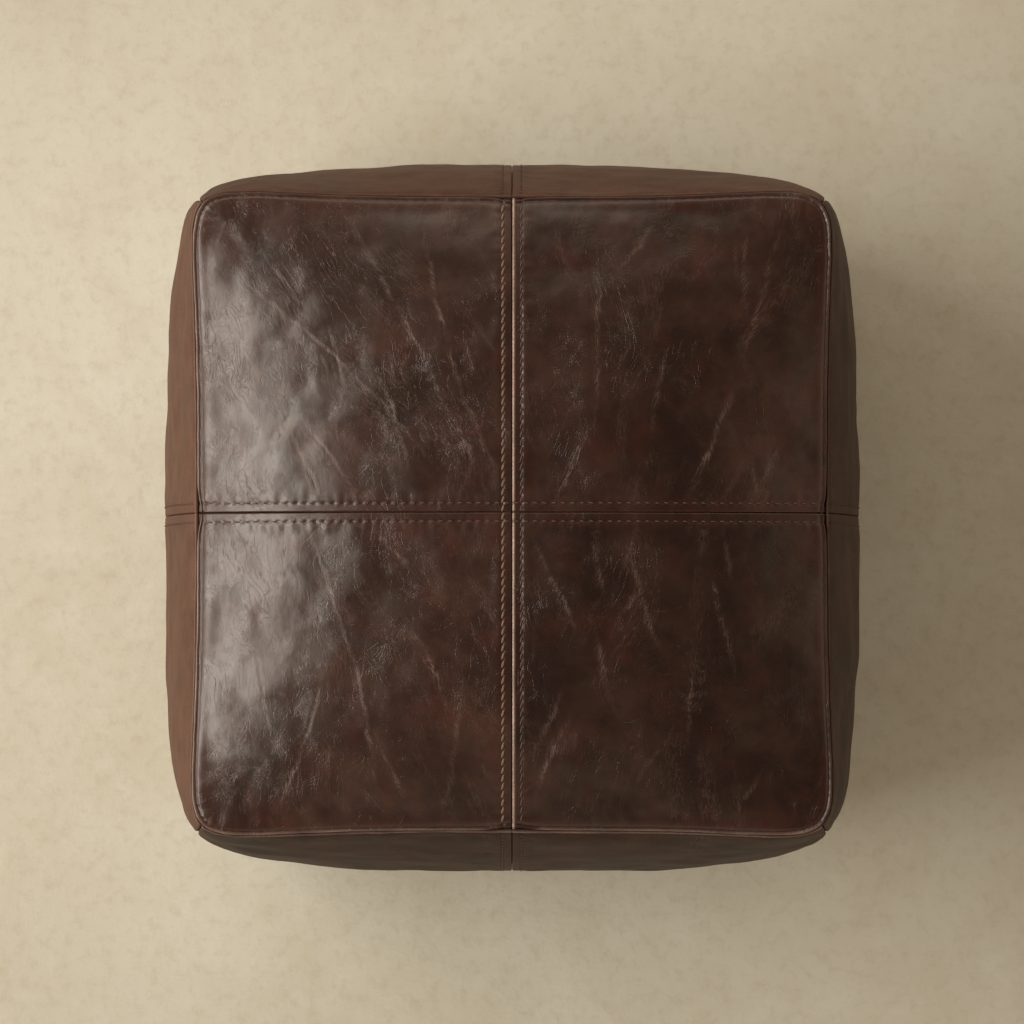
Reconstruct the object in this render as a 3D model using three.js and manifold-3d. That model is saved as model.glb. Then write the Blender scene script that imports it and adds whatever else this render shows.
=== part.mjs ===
// A square leather pouf. Four top panels, eight side panels and two base panels are sewn into a cover round a stuffed
// cotton liner. Opened seams, each backed by a tape and topstitched on both sides, cross the top and run down the middle
// of each side. A coil zip in a recess across the base lets the liner out.
// Millimetres, +Z up. The origin is on the floor under the middle of the pouf, +X is its right and +Y its back.
import * as THREE from "three";
import { mergeVertices } from "three/addons/utils/BufferGeometryUtils.js";
import Module from "manifold-3d";

// The cover's outer face. A width is half of the pouf's, "middle" at the middle of a side and "corner" carried straight
// on to where two sides would meet, so a side is hollow where its middle is less than its corner.
const RIM_MIDDLE = 211;
const RIM_CORNER = 217;
const BASE_MIDDLE = 213;
const BASE_CORNER = 219;
const BELLY_MIDDLE = 38; // how far a side swells past the straight line between its two rims
const BELLY_CORNER = 10;
const RIM_HEIGHT = 318;
const CORNER_LIFT = 5; // how much higher the rim is at its corners
const CROWN = 31; // how far the top swells above its rim
const BASE_RIM_HEIGHT = 14;
const BASE_FLARE = 45; // width of the base's margin, which turns up to its rim

// Exponents that shape those swellings.
const CORNER_ROUNDING = 14; // of the superellipse that the plan's corners follow
const SIDE_CURVE = 3; // how late a side falls away towards its corners
const CROWN_CURVE = 2.8; // how late the top falls away towards its rim
const BELLY_SINK = 0.9; // under 1 puts the widest level below half height
const BELLY_CURVE = 2.2; // how late the belly falls away towards its rims

// Sheets and the clearances between them.
const GAP = 0.3;
const LEATHER = 1.6;
const SEAM_TAPE = 0.6;
const SEAM_TAPE_WIDTH = 16;
const LINER = 0.8;
const THREAD = 0.8;
const STITCH_OFFSET = 6; // from a seam to each row of its topstitching
const LINER_SLIT_LENGTH = 200;
const LINER_SLIT_WIDTH = 1.2;
const LINER_SLIT_FORWARD = 110; // from the zip to the liner's hand-sewn filling slit

// The zip lies along X in a recess of the base.
const ZIP_LENGTH = 300;
const ZIP_TAPE = 0.8;
const ZIP_TAPE_REACH = 15; // from the zip's middle line to a tape's sewn edge
const ZIP_TAPE_TAIL = 12; // how far a tape runs on past the stops
const COIL_HEIGHT = 2.6;
const COIL_INNER = 0.8; // from the middle line to a coil
const COIL_WIDTH = 2.7;
const STOP_LENGTH = 3.5;
const SLOT_HALF_WIDTH = 6.7;
const SLOT_END = 3; // how far the leather's slot runs past the stops
const RECESS = 3.7; // height of the recess's roof, the leather's outer face, over the floor
const RECESS_HALF_WIDTH = 20;
const RECESS_SLOPE = 30; // width of the slope from the recess down to the flat base
const ZIP_STITCH_OFFSET = 10; // from the middle line to the row that sews a tape to the leather
const SLIDER_LENGTH = 16;
const SLIDER_HALF_WIDTH = 5.5;
const SLIDER_PLATE = 1.2;
const SLIDER_FLANGE = 1;
const SLIDER_WEB_LENGTH = 7;
const BRIDGE_LENGTH = 9.6;
const BRIDGE_WIDTH = 2.2;
const BRIDGE_BAR = 1;
const BRIDGE_LEG = 1.6;
const PULLER_LENGTH = 32;
const PULLER_WIDTH = 7;
const PULLER_THICKNESS = 1.2;
const PULLER_EYE_LENGTH = 6;
const PULLER_BAR = 0.45; // from the hinge line to the puller's end, past the line

// Depths below the cover's outer face, from the leather inwards.
const TAPE_DEPTH = LEATHER + GAP;
const LINER_DEPTH = TAPE_DEPTH + SEAM_TAPE + GAP;
const FILLING_DEPTH = LINER_DEPTH + LINER + GAP;

// Heights in the zip, from the leather upwards and then from the coil downwards.
const ZIP_HEIGHT = RECESS + LEATHER + GAP + ZIP_TAPE / 2;
const PLATE_INNER = COIL_HEIGHT / 2 + GAP;
const PLATE_OUTER = PLATE_INNER + SLIDER_PLATE;
const HINGE_HEIGHT = ZIP_HEIGHT - PLATE_OUTER - GAP - PULLER_THICKNESS / 2;
const BRIDGE_DROP = PLATE_OUTER + GAP + PULLER_THICKNESS + GAP + BRIDGE_BAR;
const STOP_X = ZIP_LENGTH / 2 - STOP_LENGTH; // the face of a stop that meets the slider
const SLIDER_X = STOP_X - GAP - SLIDER_LENGTH / 2; // the slider's middle when the zip is shut
const LINER_RECESS = ZIP_HEIGHT + PLATE_OUTER + GAP - LINER_DEPTH;

const mix = (a, b, share) => a + (b - a) * share;

// A point of the unit square moved to the same place in the unit superellipse, which rounds the square's corners.
function rounded(p, q) {
  const longest = Math.max(Math.abs(p), Math.abs(q));
  if (longest === 0) return [0, 0];
  const norm = (Math.abs(p) ** CORNER_ROUNDING + Math.abs(q) ** CORNER_ROUNDING) ** (1 / CORNER_ROUNDING);
  return [(p * longest) / norm, (q * longest) / norm];
}

// The half widths at a share of the way from the base rim to the top rim, at a depth below the outer face.
function spread(share, depth) {
  const belly = 1 - Math.abs(2 * share ** BELLY_SINK - 1) ** BELLY_CURVE;
  return {
    middle: mix(BASE_MIDDLE, RIM_MIDDLE, share) + BELLY_MIDDLE * belly - depth,
    corner: mix(BASE_CORNER, RIM_CORNER, share) + BELLY_CORNER * belly - depth,
  };
}

function plan(u, v, { middle, corner }) {
  const reach = (across) => mix(middle, corner, Math.abs(across) ** SIDE_CURVE);
  return [u * reach(v), v * reach(u)];
}

function topHeight(u, v) {
  const fall = (across) => 1 - Math.abs(across) ** CROWN_CURVE;
  return RIM_HEIGHT + CORNER_LIFT * (u * v) ** 2 + CROWN * fall(u) * fall(v);
}

// The base is flat, apart from the margin that turns up to its rim and the recess along X for the zip.
function baseHeight(u, v, y, recess) {
  const level = (Math.abs(u) ** CORNER_ROUNDING + Math.abs(v) ** CORNER_ROUNDING) ** (1 / CORNER_ROUNDING);
  const flare = Math.max(0, (level - 1) / (BASE_FLARE / BASE_MIDDLE) + 1) ** 2;
  const slope = THREE.MathUtils.clamp((RECESS_HALF_WIDTH + RECESS_SLOPE - Math.abs(y)) / RECESS_SLOPE, 0, 1);
  return BASE_RIM_HEIGHT * flare + recess * slope * (1 - Math.min(1, flare));
}

// The faces of the cover: each gives the point at two parameters from -1 to 1 (a side's second runs from 0, its base
// rim, to 1, its top rim) and a depth below the outer face.
function topFace(p, q, depth) {
  const [u, v] = rounded(p, q);
  const [x, y] = plan(u, v, spread(1, depth));
  return [x, y, topHeight(u, v) - depth];
}

const baseFace = (recess) => (p, q, depth) => {
  const [u, v] = rounded(p, q);
  const [x, y] = plan(u, v, spread(0, depth));
  return [x, y, baseHeight(u, v, y, recess) + depth];
};

const sideFace = (quarterTurns) => (along, share, depth) => {
  const [u, v] = rounded(1, along);
  const [x, y] = plan(u, v, spread(share, depth));
  const z = mix(BASE_RIM_HEIGHT + depth, topHeight(u, v) - depth, share);
  const [c, s] = [[1, 0], [0, 1], [-1, 0], [0, -1]][quarterTurns];
  return [c * x - s * y, s * x + c * y, z];
};

// The sample lines from the middle of a face to its edge, which take in the recess's two edges and the base's flat edge.
const RECESS_LINES = [RECESS_HALF_WIDTH / BASE_MIDDLE, (RECESS_HALF_WIDTH + RECESS_SLOPE) / BASE_MIDDLE];
const FLAT_LINE = 1 - BASE_FLARE / BASE_MIDDLE;
const HALF_LINES = [
  0,
  ...RECESS_LINES,
  mix(RECESS_LINES[1], FLAT_LINE, 1 / 3),
  mix(RECESS_LINES[1], FLAT_LINE, 2 / 3),
  FLAT_LINE,
  mix(FLAT_LINE, 1, 0.5),
  mix(FLAT_LINE, 1, 0.8),
  1,
];
const LINES = [...HALF_LINES.slice(1).map((line) => -line).reverse(), ...HALF_LINES];
const HEIGHT_LINES = [0, 0.15, 0.32, 0.5, 0.68, 0.85, 1];
const EDGE = GAP / RIM_MIDDLE; // what a panel keeps clear of a rim, as a share of a face
const HEIGHT_EDGE = GAP / (RIM_HEIGHT - BASE_RIM_HEIGHT);
const SEAM = GAP / 2 / RIM_MIDDLE; // what a panel keeps clear of a seam

// The sample lines between two limits, with the limits themselves in place of the lines that they pass.
function between(lines, low, high) {
  return [low, ...lines.filter((line) => line > low + 1e-3 && line < high - 1e-3), high];
}

function geometryOf(positions, index) {
  const geometry = new THREE.BufferGeometry();
  geometry.setAttribute("position", new THREE.Float32BufferAttribute(positions, 3));
  geometry.setIndex(index);
  return geometry;
}

// Turns a closed geometry's triangles round if they face inwards.
function facingOut(geometry) {
  const at = geometry.getAttribute("position");
  const index = geometry.index.array;
  const corner = (n) => new THREE.Vector3().fromBufferAttribute(at, index[n]);
  let volume = 0;
  for (let n = 0; n < index.length; n += 3) volume += corner(n).dot(corner(n + 1).cross(corner(n + 2)));
  if (volume > 0) return geometry;
  for (let n = 0; n < index.length; n += 3) [index[n + 1], index[n + 2]] = [index[n + 2], index[n + 1]];
  return geometry;
}

// A sheet of a face between two depths, closed round its border.
function sheet(face, ps, qs, outer, inner) {
  const positions = [];
  for (const depth of [outer, inner]) {
    for (const p of ps) {
      for (const q of qs) positions.push(...face(p, q, depth));
    }
  }
  const index = [];
  const quad = (a, b, c, d) => index.push(a, b, c, a, c, d);
  const at = (i, j, layer) => (layer * ps.length + i) * qs.length + j;
  const [lastP, lastQ] = [ps.length - 1, qs.length - 1];
  for (let i = 0; i < lastP; i++) {
    for (let j = 0; j < lastQ; j++) {
      quad(at(i, j, 0), at(i + 1, j, 0), at(i + 1, j + 1, 0), at(i, j + 1, 0));
      quad(at(i, j, 1), at(i, j + 1, 1), at(i + 1, j + 1, 1), at(i + 1, j, 1));
    }
    quad(at(i, 0, 1), at(i + 1, 0, 1), at(i + 1, 0, 0), at(i, 0, 0));
    quad(at(i, lastQ, 0), at(i + 1, lastQ, 0), at(i + 1, lastQ, 1), at(i, lastQ, 1));
  }
  for (let j = 0; j < lastQ; j++) {
    quad(at(0, j, 0), at(0, j + 1, 0), at(0, j + 1, 1), at(0, j, 1));
    quad(at(lastP, j, 1), at(lastP, j + 1, 1), at(lastP, j + 1, 0), at(lastP, j, 0));
  }
  return facingOut(geometryOf(positions, index));
}

// The whole closed face of the pouf at one depth, over a recess of the given height.
function closedFace(depth, recess) {
  const positions = [];
  const index = [];
  const addGrid = (face, ps, qs, turned) => {
    const first = positions.length / 3;
    for (const p of ps) {
      for (const q of qs) positions.push(...face(p, q, depth));
    }
    for (let i = 0; i < ps.length - 1; i++) {
      for (let j = 0; j < qs.length - 1; j++) {
        const a = first + i * qs.length + j;
        const [b, c, d] = [a + qs.length, a + qs.length + 1, a + 1];
        index.push(...(turned ? [a, d, c, a, c, b] : [a, b, c, a, c, d]));
      }
    }
  };
  addGrid(topFace, LINES, LINES, false);
  addGrid(baseFace(recess), LINES, LINES, true);
  for (let turns = 0; turns < 4; turns++) addGrid(sideFace(turns), LINES, HEIGHT_LINES, false);
  return facingOut(mergeVertices(geometryOf(positions, index), 1e-3));
}

const wasm = await Module();
wasm.setup();

function solidOf(geometry) {
  const bare = geometry.index ? geometry.toNonIndexed() : geometry.clone();
  bare.deleteAttribute("normal");
  bare.deleteAttribute("uv");
  const merged = mergeVertices(bare, 1e-3);
  return new wasm.Manifold(
    new wasm.Mesh({
      numProp: 3,
      vertProperties: merged.getAttribute("position").array,
      triVerts: new Uint32Array(merged.index.array),
    }),
  );
}

function geometryOfSolid(solid) {
  const { vertProperties, triVerts } = solid.getMesh();
  return geometryOf(vertProperties, [...triVerts]);
}

const box = (length, width, height, x, y, z) => new THREE.BoxGeometry(length, width, height).translate(x, y, z);

const cut = (geometry, ...tools) =>
  geometryOfSolid(tools.reduce((solid, tool) => solid.subtract(solidOf(tool)), solidOf(geometry)));

const join = (geometry, ...others) =>
  geometryOfSolid(others.reduce((solid, other) => solid.add(solidOf(other)), solidOf(geometry)));

// Materials.
const material = (color, roughness, metalness = 0) => new THREE.MeshStandardMaterial({ color, roughness, metalness });
const leather = material(0x4a322a, 0.42);
const baseLeather = material(0x3b2924, 0.6);
const thread = material(0x35201a, 0.8);
const tapeCotton = material(0x8a7a66, 0.95);
const linerCotton = material(0xd8cfbd, 0.95);
const filling = material(0xe6e1d6, 1);
const zipFabric = material(0x2a211e, 0.9);
const coilPlastic = material(0x241c1a, 0.5);
const zipMetal = material(0x8d7a58, 0.35, 1);

const pouf = new THREE.Group();

function add(name, geometry, look) {
  const mesh = new THREE.Mesh(geometry, look);
  mesh.name = name;
  pouf.add(mesh);
  return mesh;
}

const SIDES = [
  { name: "right", halves: ["front", "back"] },
  { name: "back", halves: ["right", "left"] },
  { name: "left", halves: ["back", "front"] },
  { name: "front", halves: ["left", "right"] },
];
const reversed = (lines) => lines.map((line) => -line).reverse();
const FAR_HALF = between(LINES, SEAM, 1 - EDGE);
const NEAR_HALF = reversed(FAR_HALF);

// Leather panels of the top, in quarters.
for (const [depthName, qs] of [["front", NEAR_HALF], ["back", FAR_HALF]]) {
  for (const [sideName, ps] of [["left", NEAR_HALF], ["right", FAR_HALF]]) {
    add(`top_panel_${depthName}_${sideName}`, sheet(topFace, ps, qs, 0, LEATHER), leather);
  }
}

// Leather panels of the sides, each half a side wide.
const panelHeights = between(HEIGHT_LINES, HEIGHT_EDGE, 1 - HEIGHT_EDGE);
SIDES.forEach(({ name, halves }, turns) => {
  [NEAR_HALF, FAR_HALF].forEach((lines, half) => {
    const panel = sheet(sideFace(turns), lines, panelHeights, 0, LEATHER);
    add(`side_panel_${name}_${halves[half]}`, panel, leather);
  });
});

// Leather panels of the base, on either side of the zip's slot.
const slot = box(ZIP_LENGTH + 2 * SLOT_END, 2 * SLOT_HALF_WIDTH, 4 * BASE_RIM_HEIGHT, 0, 0, 0);
const baseWidth = between(LINES, -1 + EDGE, 1 - EDGE);
for (const [name, qs] of [["front", NEAR_HALF], ["back", FAR_HALF]]) {
  add(`base_panel_${name}`, cut(sheet(baseFace(RECESS), baseWidth, qs, 0, LEATHER), slot), baseLeather);
}

// Tapes behind the opened seams: one runs the length of the top, and two meet its edges.
const tapeHalf = SEAM_TAPE_WIDTH / 2 / RIM_MIDDLE;
const tapeEnd = 1 - EDGE;
const tapeAcross = [-tapeHalf, 0, tapeHalf];
const tapeStart = tapeHalf + 4 * SEAM;
const seamTape = (face, ps, qs) => sheet(face, ps, qs, TAPE_DEPTH, TAPE_DEPTH + SEAM_TAPE);
add("seam_tape_top_long", seamTape(topFace, tapeAcross, between(LINES, -tapeEnd, tapeEnd)), tapeCotton);
add("seam_tape_top_left", seamTape(topFace, between(LINES, -tapeEnd, -tapeStart), tapeAcross), tapeCotton);
add("seam_tape_top_right", seamTape(topFace, between(LINES, tapeStart, tapeEnd), tapeAcross), tapeCotton);
SIDES.forEach(({ name }, turns) => {
  add(`seam_tape_side_${name}`, seamTape(sideFace(turns), tapeAcross, panelHeights), tapeCotton);
});

// Topstitching, as a thread lying on the leather on each side of a seam. The long seam was sewn last, so its rows run
// through, and the rows of the cross seam end at them.
const stitchRow = (offset) => [(offset - THREAD / 2) / RIM_MIDDLE, (offset + THREAD / 2) / RIM_MIDDLE];
const stitches = (face, ps, qs) => sheet(face, ps, qs, -GAP - THREAD, -GAP);
const rowEnd = stitchRow(STITCH_OFFSET)[1] + 4 * SEAM;
for (const [name, offset] of [["left", -STITCH_OFFSET], ["right", STITCH_OFFSET]]) {
  const row = stitches(topFace, stitchRow(offset), between(LINES, -tapeEnd, tapeEnd));
  add(`topstitch_long_seam_${name}`, row, thread);
}
for (const [armName, arm] of [["left", between(LINES, -tapeEnd, -rowEnd)], ["right", between(LINES, rowEnd, tapeEnd)]]) {
  for (const [rowName, offset] of [["front", -STITCH_OFFSET], ["back", STITCH_OFFSET]]) {
    add(`topstitch_cross_seam_${armName}_${rowName}`, stitches(topFace, arm, stitchRow(offset)), thread);
  }
}
SIDES.forEach(({ name, halves }, turns) => {
  [-STITCH_OFFSET, STITCH_OFFSET].forEach((offset, half) => {
    const row = stitches(sideFace(turns), stitchRow(offset), panelHeights);
    add(`topstitch_side_${name}_${halves[half]}`, row, thread);
  });
});

// The liner is one sewn bag with a slit in its base, and the filling takes its inner shape.
const slit = box(LINER_SLIT_LENGTH, LINER_SLIT_WIDTH, 4 * BASE_RIM_HEIGHT, 0, -LINER_SLIT_FORWARD, 0);
const linerInner = closedFace(LINER_DEPTH + LINER, LINER_RECESS);
add("liner_bag", cut(closedFace(LINER_DEPTH, LINER_RECESS), linerInner, slit), linerCotton);
add("filling", closedFace(FILLING_DEPTH, LINER_RECESS), filling);

// The zip: two tapes, two coils, a stop on each coil where it shuts and one stop across both where it opens.
const tapeInner = COIL_INNER + COIL_WIDTH + GAP;
const stopHeight = COIL_HEIGHT + 2 * PLATE_INNER - COIL_HEIGHT;
const coilLength = 2 * STOP_X - 2 * GAP;
for (const [name, sign] of [["front", -1], ["back", 1]]) {
  const tapeMiddle = (sign * (tapeInner + ZIP_TAPE_REACH)) / 2;
  const tapeLength = ZIP_LENGTH + 2 * ZIP_TAPE_TAIL;
  add(`zip_tape_${name}`, box(tapeLength, ZIP_TAPE_REACH - tapeInner, ZIP_TAPE, 0, tapeMiddle, ZIP_HEIGHT), zipFabric);
  const coilMiddle = sign * (COIL_INNER + COIL_WIDTH / 2);
  add(`zip_coil_${name}`, box(coilLength, COIL_WIDTH, COIL_HEIGHT, 0, coilMiddle, ZIP_HEIGHT), coilPlastic);
  const stopMiddle = STOP_X + STOP_LENGTH / 2;
  add(`zip_top_stop_${name}`, box(STOP_LENGTH, COIL_WIDTH, stopHeight, stopMiddle, coilMiddle, ZIP_HEIGHT), zipMetal);
  const [rowFrom, rowTo] = [sign * ZIP_STITCH_OFFSET - THREAD / 2, sign * ZIP_STITCH_OFFSET + THREAD / 2];
  const rowHeight = RECESS - GAP - THREAD / 2;
  const row = box(ZIP_LENGTH, rowTo - rowFrom, THREAD, 0, (rowFrom + rowTo) / 2, rowHeight);
  add(`topstitch_zip_${name}`, row, thread);
}
const bottomStopWidth = 2 * (COIL_INNER + COIL_WIDTH);
const bottomStopMiddle = -STOP_X - STOP_LENGTH / 2;
add("zip_bottom_stop", box(STOP_LENGTH, bottomStopWidth, stopHeight, bottomStopMiddle, 0, ZIP_HEIGHT), zipMetal);

// The slider's section holds the coils between two plates. Flanges turn in to the tapes, and a web joins the plates in
// the line between the coils. The bridge is a flat loop under the outer plate, which the puller hangs from.
function sliderPlate(side) {
  const flangeHeight = PLATE_OUTER - ZIP_TAPE / 2 - GAP;
  const plate = box(SLIDER_LENGTH, 2 * SLIDER_HALF_WIDTH, SLIDER_PLATE, 0, 0, side * (PLATE_INNER + SLIDER_PLATE / 2));
  const flanges = [-1, 1].map((sign) => {
    const middle = sign * (SLIDER_HALF_WIDTH - SLIDER_FLANGE / 2);
    return box(SLIDER_LENGTH, SLIDER_FLANGE, flangeHeight, 0, middle, side * (PLATE_OUTER - flangeHeight / 2));
  });
  return join(plate, ...flanges);
}
const webWidth = 2 * (COIL_INNER - GAP);
const web = box(SLIDER_WEB_LENGTH, webWidth, 2 * PLATE_OUTER, (SLIDER_LENGTH - SLIDER_WEB_LENGTH) / 2, 0, 0);
const bridgeHeight = BRIDGE_DROP - PLATE_INNER;
const bridge = cut(
  box(BRIDGE_LENGTH, BRIDGE_WIDTH, bridgeHeight, 0, 0, -BRIDGE_DROP + bridgeHeight / 2),
  box(
    BRIDGE_LENGTH - 2 * BRIDGE_LEG,
    2 * BRIDGE_WIDTH,
    BRIDGE_DROP - BRIDGE_BAR - PLATE_OUTER,
    0,
    0,
    -(BRIDGE_DROP - BRIDGE_BAR + PLATE_OUTER) / 2,
  ),
);
const slider = add("zip_slider", join(sliderPlate(1), sliderPlate(-1), web, bridge), zipMetal);
slider.position.set(SLIDER_X, 0, ZIP_HEIGHT);

// The puller is a flat tab whose eye straddles the bridge, lying back along the shut zip.
const eyeHalf = BRIDGE_WIDTH / 2 + 2 * GAP;
const pullerOutline = new THREE.Shape();
pullerOutline.moveTo(PULLER_BAR, -PULLER_WIDTH / 2);
pullerOutline.lineTo(PULLER_BAR, PULLER_WIDTH / 2);
pullerOutline.lineTo(PULLER_WIDTH / 2 - PULLER_LENGTH, PULLER_WIDTH / 2);
pullerOutline.absarc(PULLER_WIDTH / 2 - PULLER_LENGTH, 0, PULLER_WIDTH / 2, Math.PI / 2, (3 * Math.PI) / 2, false);
const eye = new THREE.Path();
eye.moveTo(-PULLER_THICKNESS / 2, -eyeHalf);
eye.lineTo(-PULLER_THICKNESS / 2 - PULLER_EYE_LENGTH, -eyeHalf);
eye.lineTo(-PULLER_THICKNESS / 2 - PULLER_EYE_LENGTH, eyeHalf);
eye.lineTo(-PULLER_THICKNESS / 2, eyeHalf);
pullerOutline.holes.push(eye);
const pullerGeometry = new THREE.ExtrudeGeometry(pullerOutline, {
  depth: PULLER_THICKNESS,
  bevelEnabled: false,
  curveSegments: 8,
});
pullerGeometry.translate(0, 0, -PULLER_THICKNESS / 2);
const puller = add("zip_puller", pullerGeometry, zipMetal);
puller.position.set(SLIDER_X, 0, HINGE_HEIGHT);

export default pouf;
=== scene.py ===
"""A square leather pouf in detail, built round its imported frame.

The cover is settled over its stuffing as cloth. Each leather panel, stitch row, tape, the liner, the
filling and the zip is then a surface of its own on that settled shape. Shapes are worked out in millimetres
and made in metres.
"""
import math

import bmesh
import bpy
import numpy as np
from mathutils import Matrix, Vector


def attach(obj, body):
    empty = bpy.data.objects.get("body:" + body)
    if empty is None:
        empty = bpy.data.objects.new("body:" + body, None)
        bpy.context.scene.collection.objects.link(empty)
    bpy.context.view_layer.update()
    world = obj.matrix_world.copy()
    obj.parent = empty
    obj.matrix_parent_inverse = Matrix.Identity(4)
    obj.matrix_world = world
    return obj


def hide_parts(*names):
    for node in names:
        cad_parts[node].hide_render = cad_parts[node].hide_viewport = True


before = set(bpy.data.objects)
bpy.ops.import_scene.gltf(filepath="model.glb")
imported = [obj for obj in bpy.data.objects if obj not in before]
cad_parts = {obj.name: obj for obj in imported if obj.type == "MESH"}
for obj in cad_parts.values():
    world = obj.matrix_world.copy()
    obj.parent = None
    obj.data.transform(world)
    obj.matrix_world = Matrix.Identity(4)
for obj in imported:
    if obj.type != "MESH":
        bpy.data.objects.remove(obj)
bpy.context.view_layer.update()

scene = bpy.context.scene

# The cover's outer form, in millimetres, as the frame has it. A pair holds the value at the middle of a side
# and the one carried straight on to where two sides would meet.
RIM = (211.0, 218.5)  # half width at the top's rim
BASE_RIM = (213.0, 219.0)  # half width at the base's rim
BELLY = {"x": 33.5, "y": 36.5, "corner": 10.0}  # swelling of the sides past the line between their two rims
RIM_HEIGHT = 318.0
CORNER_LIFT = 5.0  # how much higher the top's rim is at its corners
CROWN = 31.0  # how far the top's middle stands over its rim
BASE_RIM_HEIGHT = 14.0
BASE_FLARE = 45.0  # width of the base's turned-up margin
RECESS = 3.7  # depth of the hollow that the zip lies in
RECESS_HALF_WIDTH = 20.0
RECESS_SLOPE = 30.0  # width of the slope on each side of the hollow
DEEPER = 1.006  # how much more the cover measures from front to back than across

# Powers of the form's curves.
CORNER_ROUNDING = 14.0
SIDE_CURVE = 3.0
CROWN_CURVE = 2.8
BELLY_SINK = 0.9  # below 1, it puts the widest line under mid-height
BELLY_CURVE = 2.2

# Lengths that a share of a face stands for.
ACROSS = 211.0  # half of a face's width
UP = 328.0  # a side's height along its leather

# Sheets and stitches.
LEATHER = 1.6
TURNED_IN = 1.7  # how much thicker the leather is where its edge is folded under
EDGE_GAP = 0.12  # what each panel's folded edge keeps clear of its seam's middle
FLOOR_GAP = 0.25  # what the cover keeps clear of the floor
STITCH_OFFSET = 6.0  # from a seam's middle to its rows
STITCH_PITCH = 6.2
STITCH_LENGTH = 3.2
ROPE_PITCH = 5.4  # of the long seam's heavy rows
ROPE_LENGTH = 5.1
THREAD_RADIUS = 0.45
SLOT_HALF_WIDTH = 6.7  # of the gap in the base's leather over the zip
SLOT_HALF_LENGTH = 153.0
ZIP_ROW = 10.0  # from the zip's middle to the rows beside it

SIDES = [
    ("right", ("front", "back")),
    ("back", ("right", "left")),
    ("left", ("back", "front")),
    ("front", ("left", "right")),
]


def mix(a, b, share):
    """The value at a share of the way from a to b."""
    return a + (b - a) * share


def smooth(value, low, high):
    """0 below low and 1 above high, with an S curve 3t^2 - 2t^3 between."""
    t = np.clip((value - low) / (high - low), 0, 1)
    return t * t * (3 - 2 * t)


def hump(value, width):
    """A bell exp(-(value / width)^2)."""
    return np.exp(-((value / width) ** 2))


def noise(x, y, seed):
    """Smooth random waves about one unit long, from about -1 to 1.

    A slope of random direction stands on each whole-number point, and the four slopes round a place are
    blended with the curve 6t^5 - 15t^4 + 10t^3.
    """
    angle = np.random.default_rng(seed).random((128, 128)) * 2 * np.pi
    east, north = np.cos(angle), np.sin(angle)
    column, row = np.floor(x).astype(int), np.floor(y).astype(int)
    fx, fy = x - column, y - row
    wx, wy = (f**3 * (f * (f * 6 - 15) + 10) for f in (fx, fy))
    total = 0
    for i, across in ((0, 1 - wx), (1, wx)):
        for j, along in ((0, 1 - wy), (1, wy)):
            cell = (column + i) % 128, (row + j) % 128
            total = total + across * along * (east[cell] * (fx - i) + north[cell] * (fy - j))
    return 1.5 * total


# ---- The cover's form --------------------------------------------------------------------------------------


def rounded(p, q):
    """The square's point (p, q) moved into the superellipse |u|^14 + |v|^14 = 1, more so the nearer its
    edge."""
    level = np.maximum(abs(p), abs(q))
    norm = (abs(p) ** CORNER_ROUNDING + abs(q) ** CORNER_ROUNDING) ** (1 / CORNER_ROUNDING)
    share = 1 + (level / np.maximum(norm, 1e-9) - 1) * level**4
    return p * share, q * share


def plan(u, v, middle_u, middle_v, corner):
    """Shares of the half widths, which grow from middle to corner with the cube of the other share."""
    return (
        u * mix(middle_u, corner, abs(v) ** SIDE_CURVE),
        v * mix(middle_v, corner, abs(u) ** SIDE_CURVE),
    )


def top_height(u, v):
    """The rim's height, its lift towards the corners, and a crown (1 - |u|^2.8)(1 - |v|^2.8)."""
    crown = CROWN * (1 - abs(u) ** CROWN_CURVE) * (1 - abs(v) ** CROWN_CURVE)
    return RIM_HEIGHT + CORNER_LIFT * (u * v) ** 2 + crown


def base_height(u, v, y):
    """Flat, with a margin that turns up as a parabola to the rim and a flat-roofed recess along X."""
    level = (abs(u) ** CORNER_ROUNDING + abs(v) ** CORNER_ROUNDING) ** (1 / CORNER_ROUNDING)
    flare = np.maximum(0, (level - 1) / (BASE_FLARE / BASE_RIM[0]) + 1) ** 2
    slope = np.clip((RECESS_HALF_WIDTH + RECESS_SLOPE - abs(y)) / RECESS_SLOPE, 0, 1)
    return BASE_RIM_HEIGHT * flare + RECESS * slope * (1 - np.minimum(1, flare))


QUARTER_TURNS = [(1, 0), (0, 1), (-1, 0), (0, -1)]  # their cosines and sines


def form(face, p, q):
    """The cover's point at shares p and q of a face: "top", "base", or a side by its quarter turns from the
    right.

    Both shares run from -1 to 1, but a side's q from 0 at its base rim to 1 at its top rim.
    """
    if face == "top":
        u, v = rounded(p, q)
        x, y = plan(u, v, RIM[0], *RIM)
        return np.stack([x, DEEPER * y, top_height(u, v)], -1)
    if face == "base":
        u, v = rounded(p, q)
        x, y = plan(u, v, BASE_RIM[0], *BASE_RIM)
        return np.stack([x, DEEPER * y, base_height(u, v, y)], -1)
    belly = 1 - abs(2 * q**BELLY_SINK - 1) ** BELLY_CURVE
    u, v = rounded(np.ones_like(p), p)
    facing, beside = ("x", "y") if face % 2 == 0 else ("y", "x")
    middle = mix(BASE_RIM[0], RIM[0], q)
    corner = mix(BASE_RIM[1], RIM[1], q) + BELLY["corner"] * belly
    x, y = plan(u, v, middle + BELLY[facing] * belly, middle + BELLY[beside] * belly, corner)
    z = mix(BASE_RIM_HEIGHT, top_height(u, v), q)
    turn_cos, turn_sin = QUARTER_TURNS[face]
    return np.stack([turn_cos * x - turn_sin * y, DEEPER * (turn_sin * x + turn_cos * y), z], -1)


# ---- The cover settled as cloth ----------------------------------------------------------------------------

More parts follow.
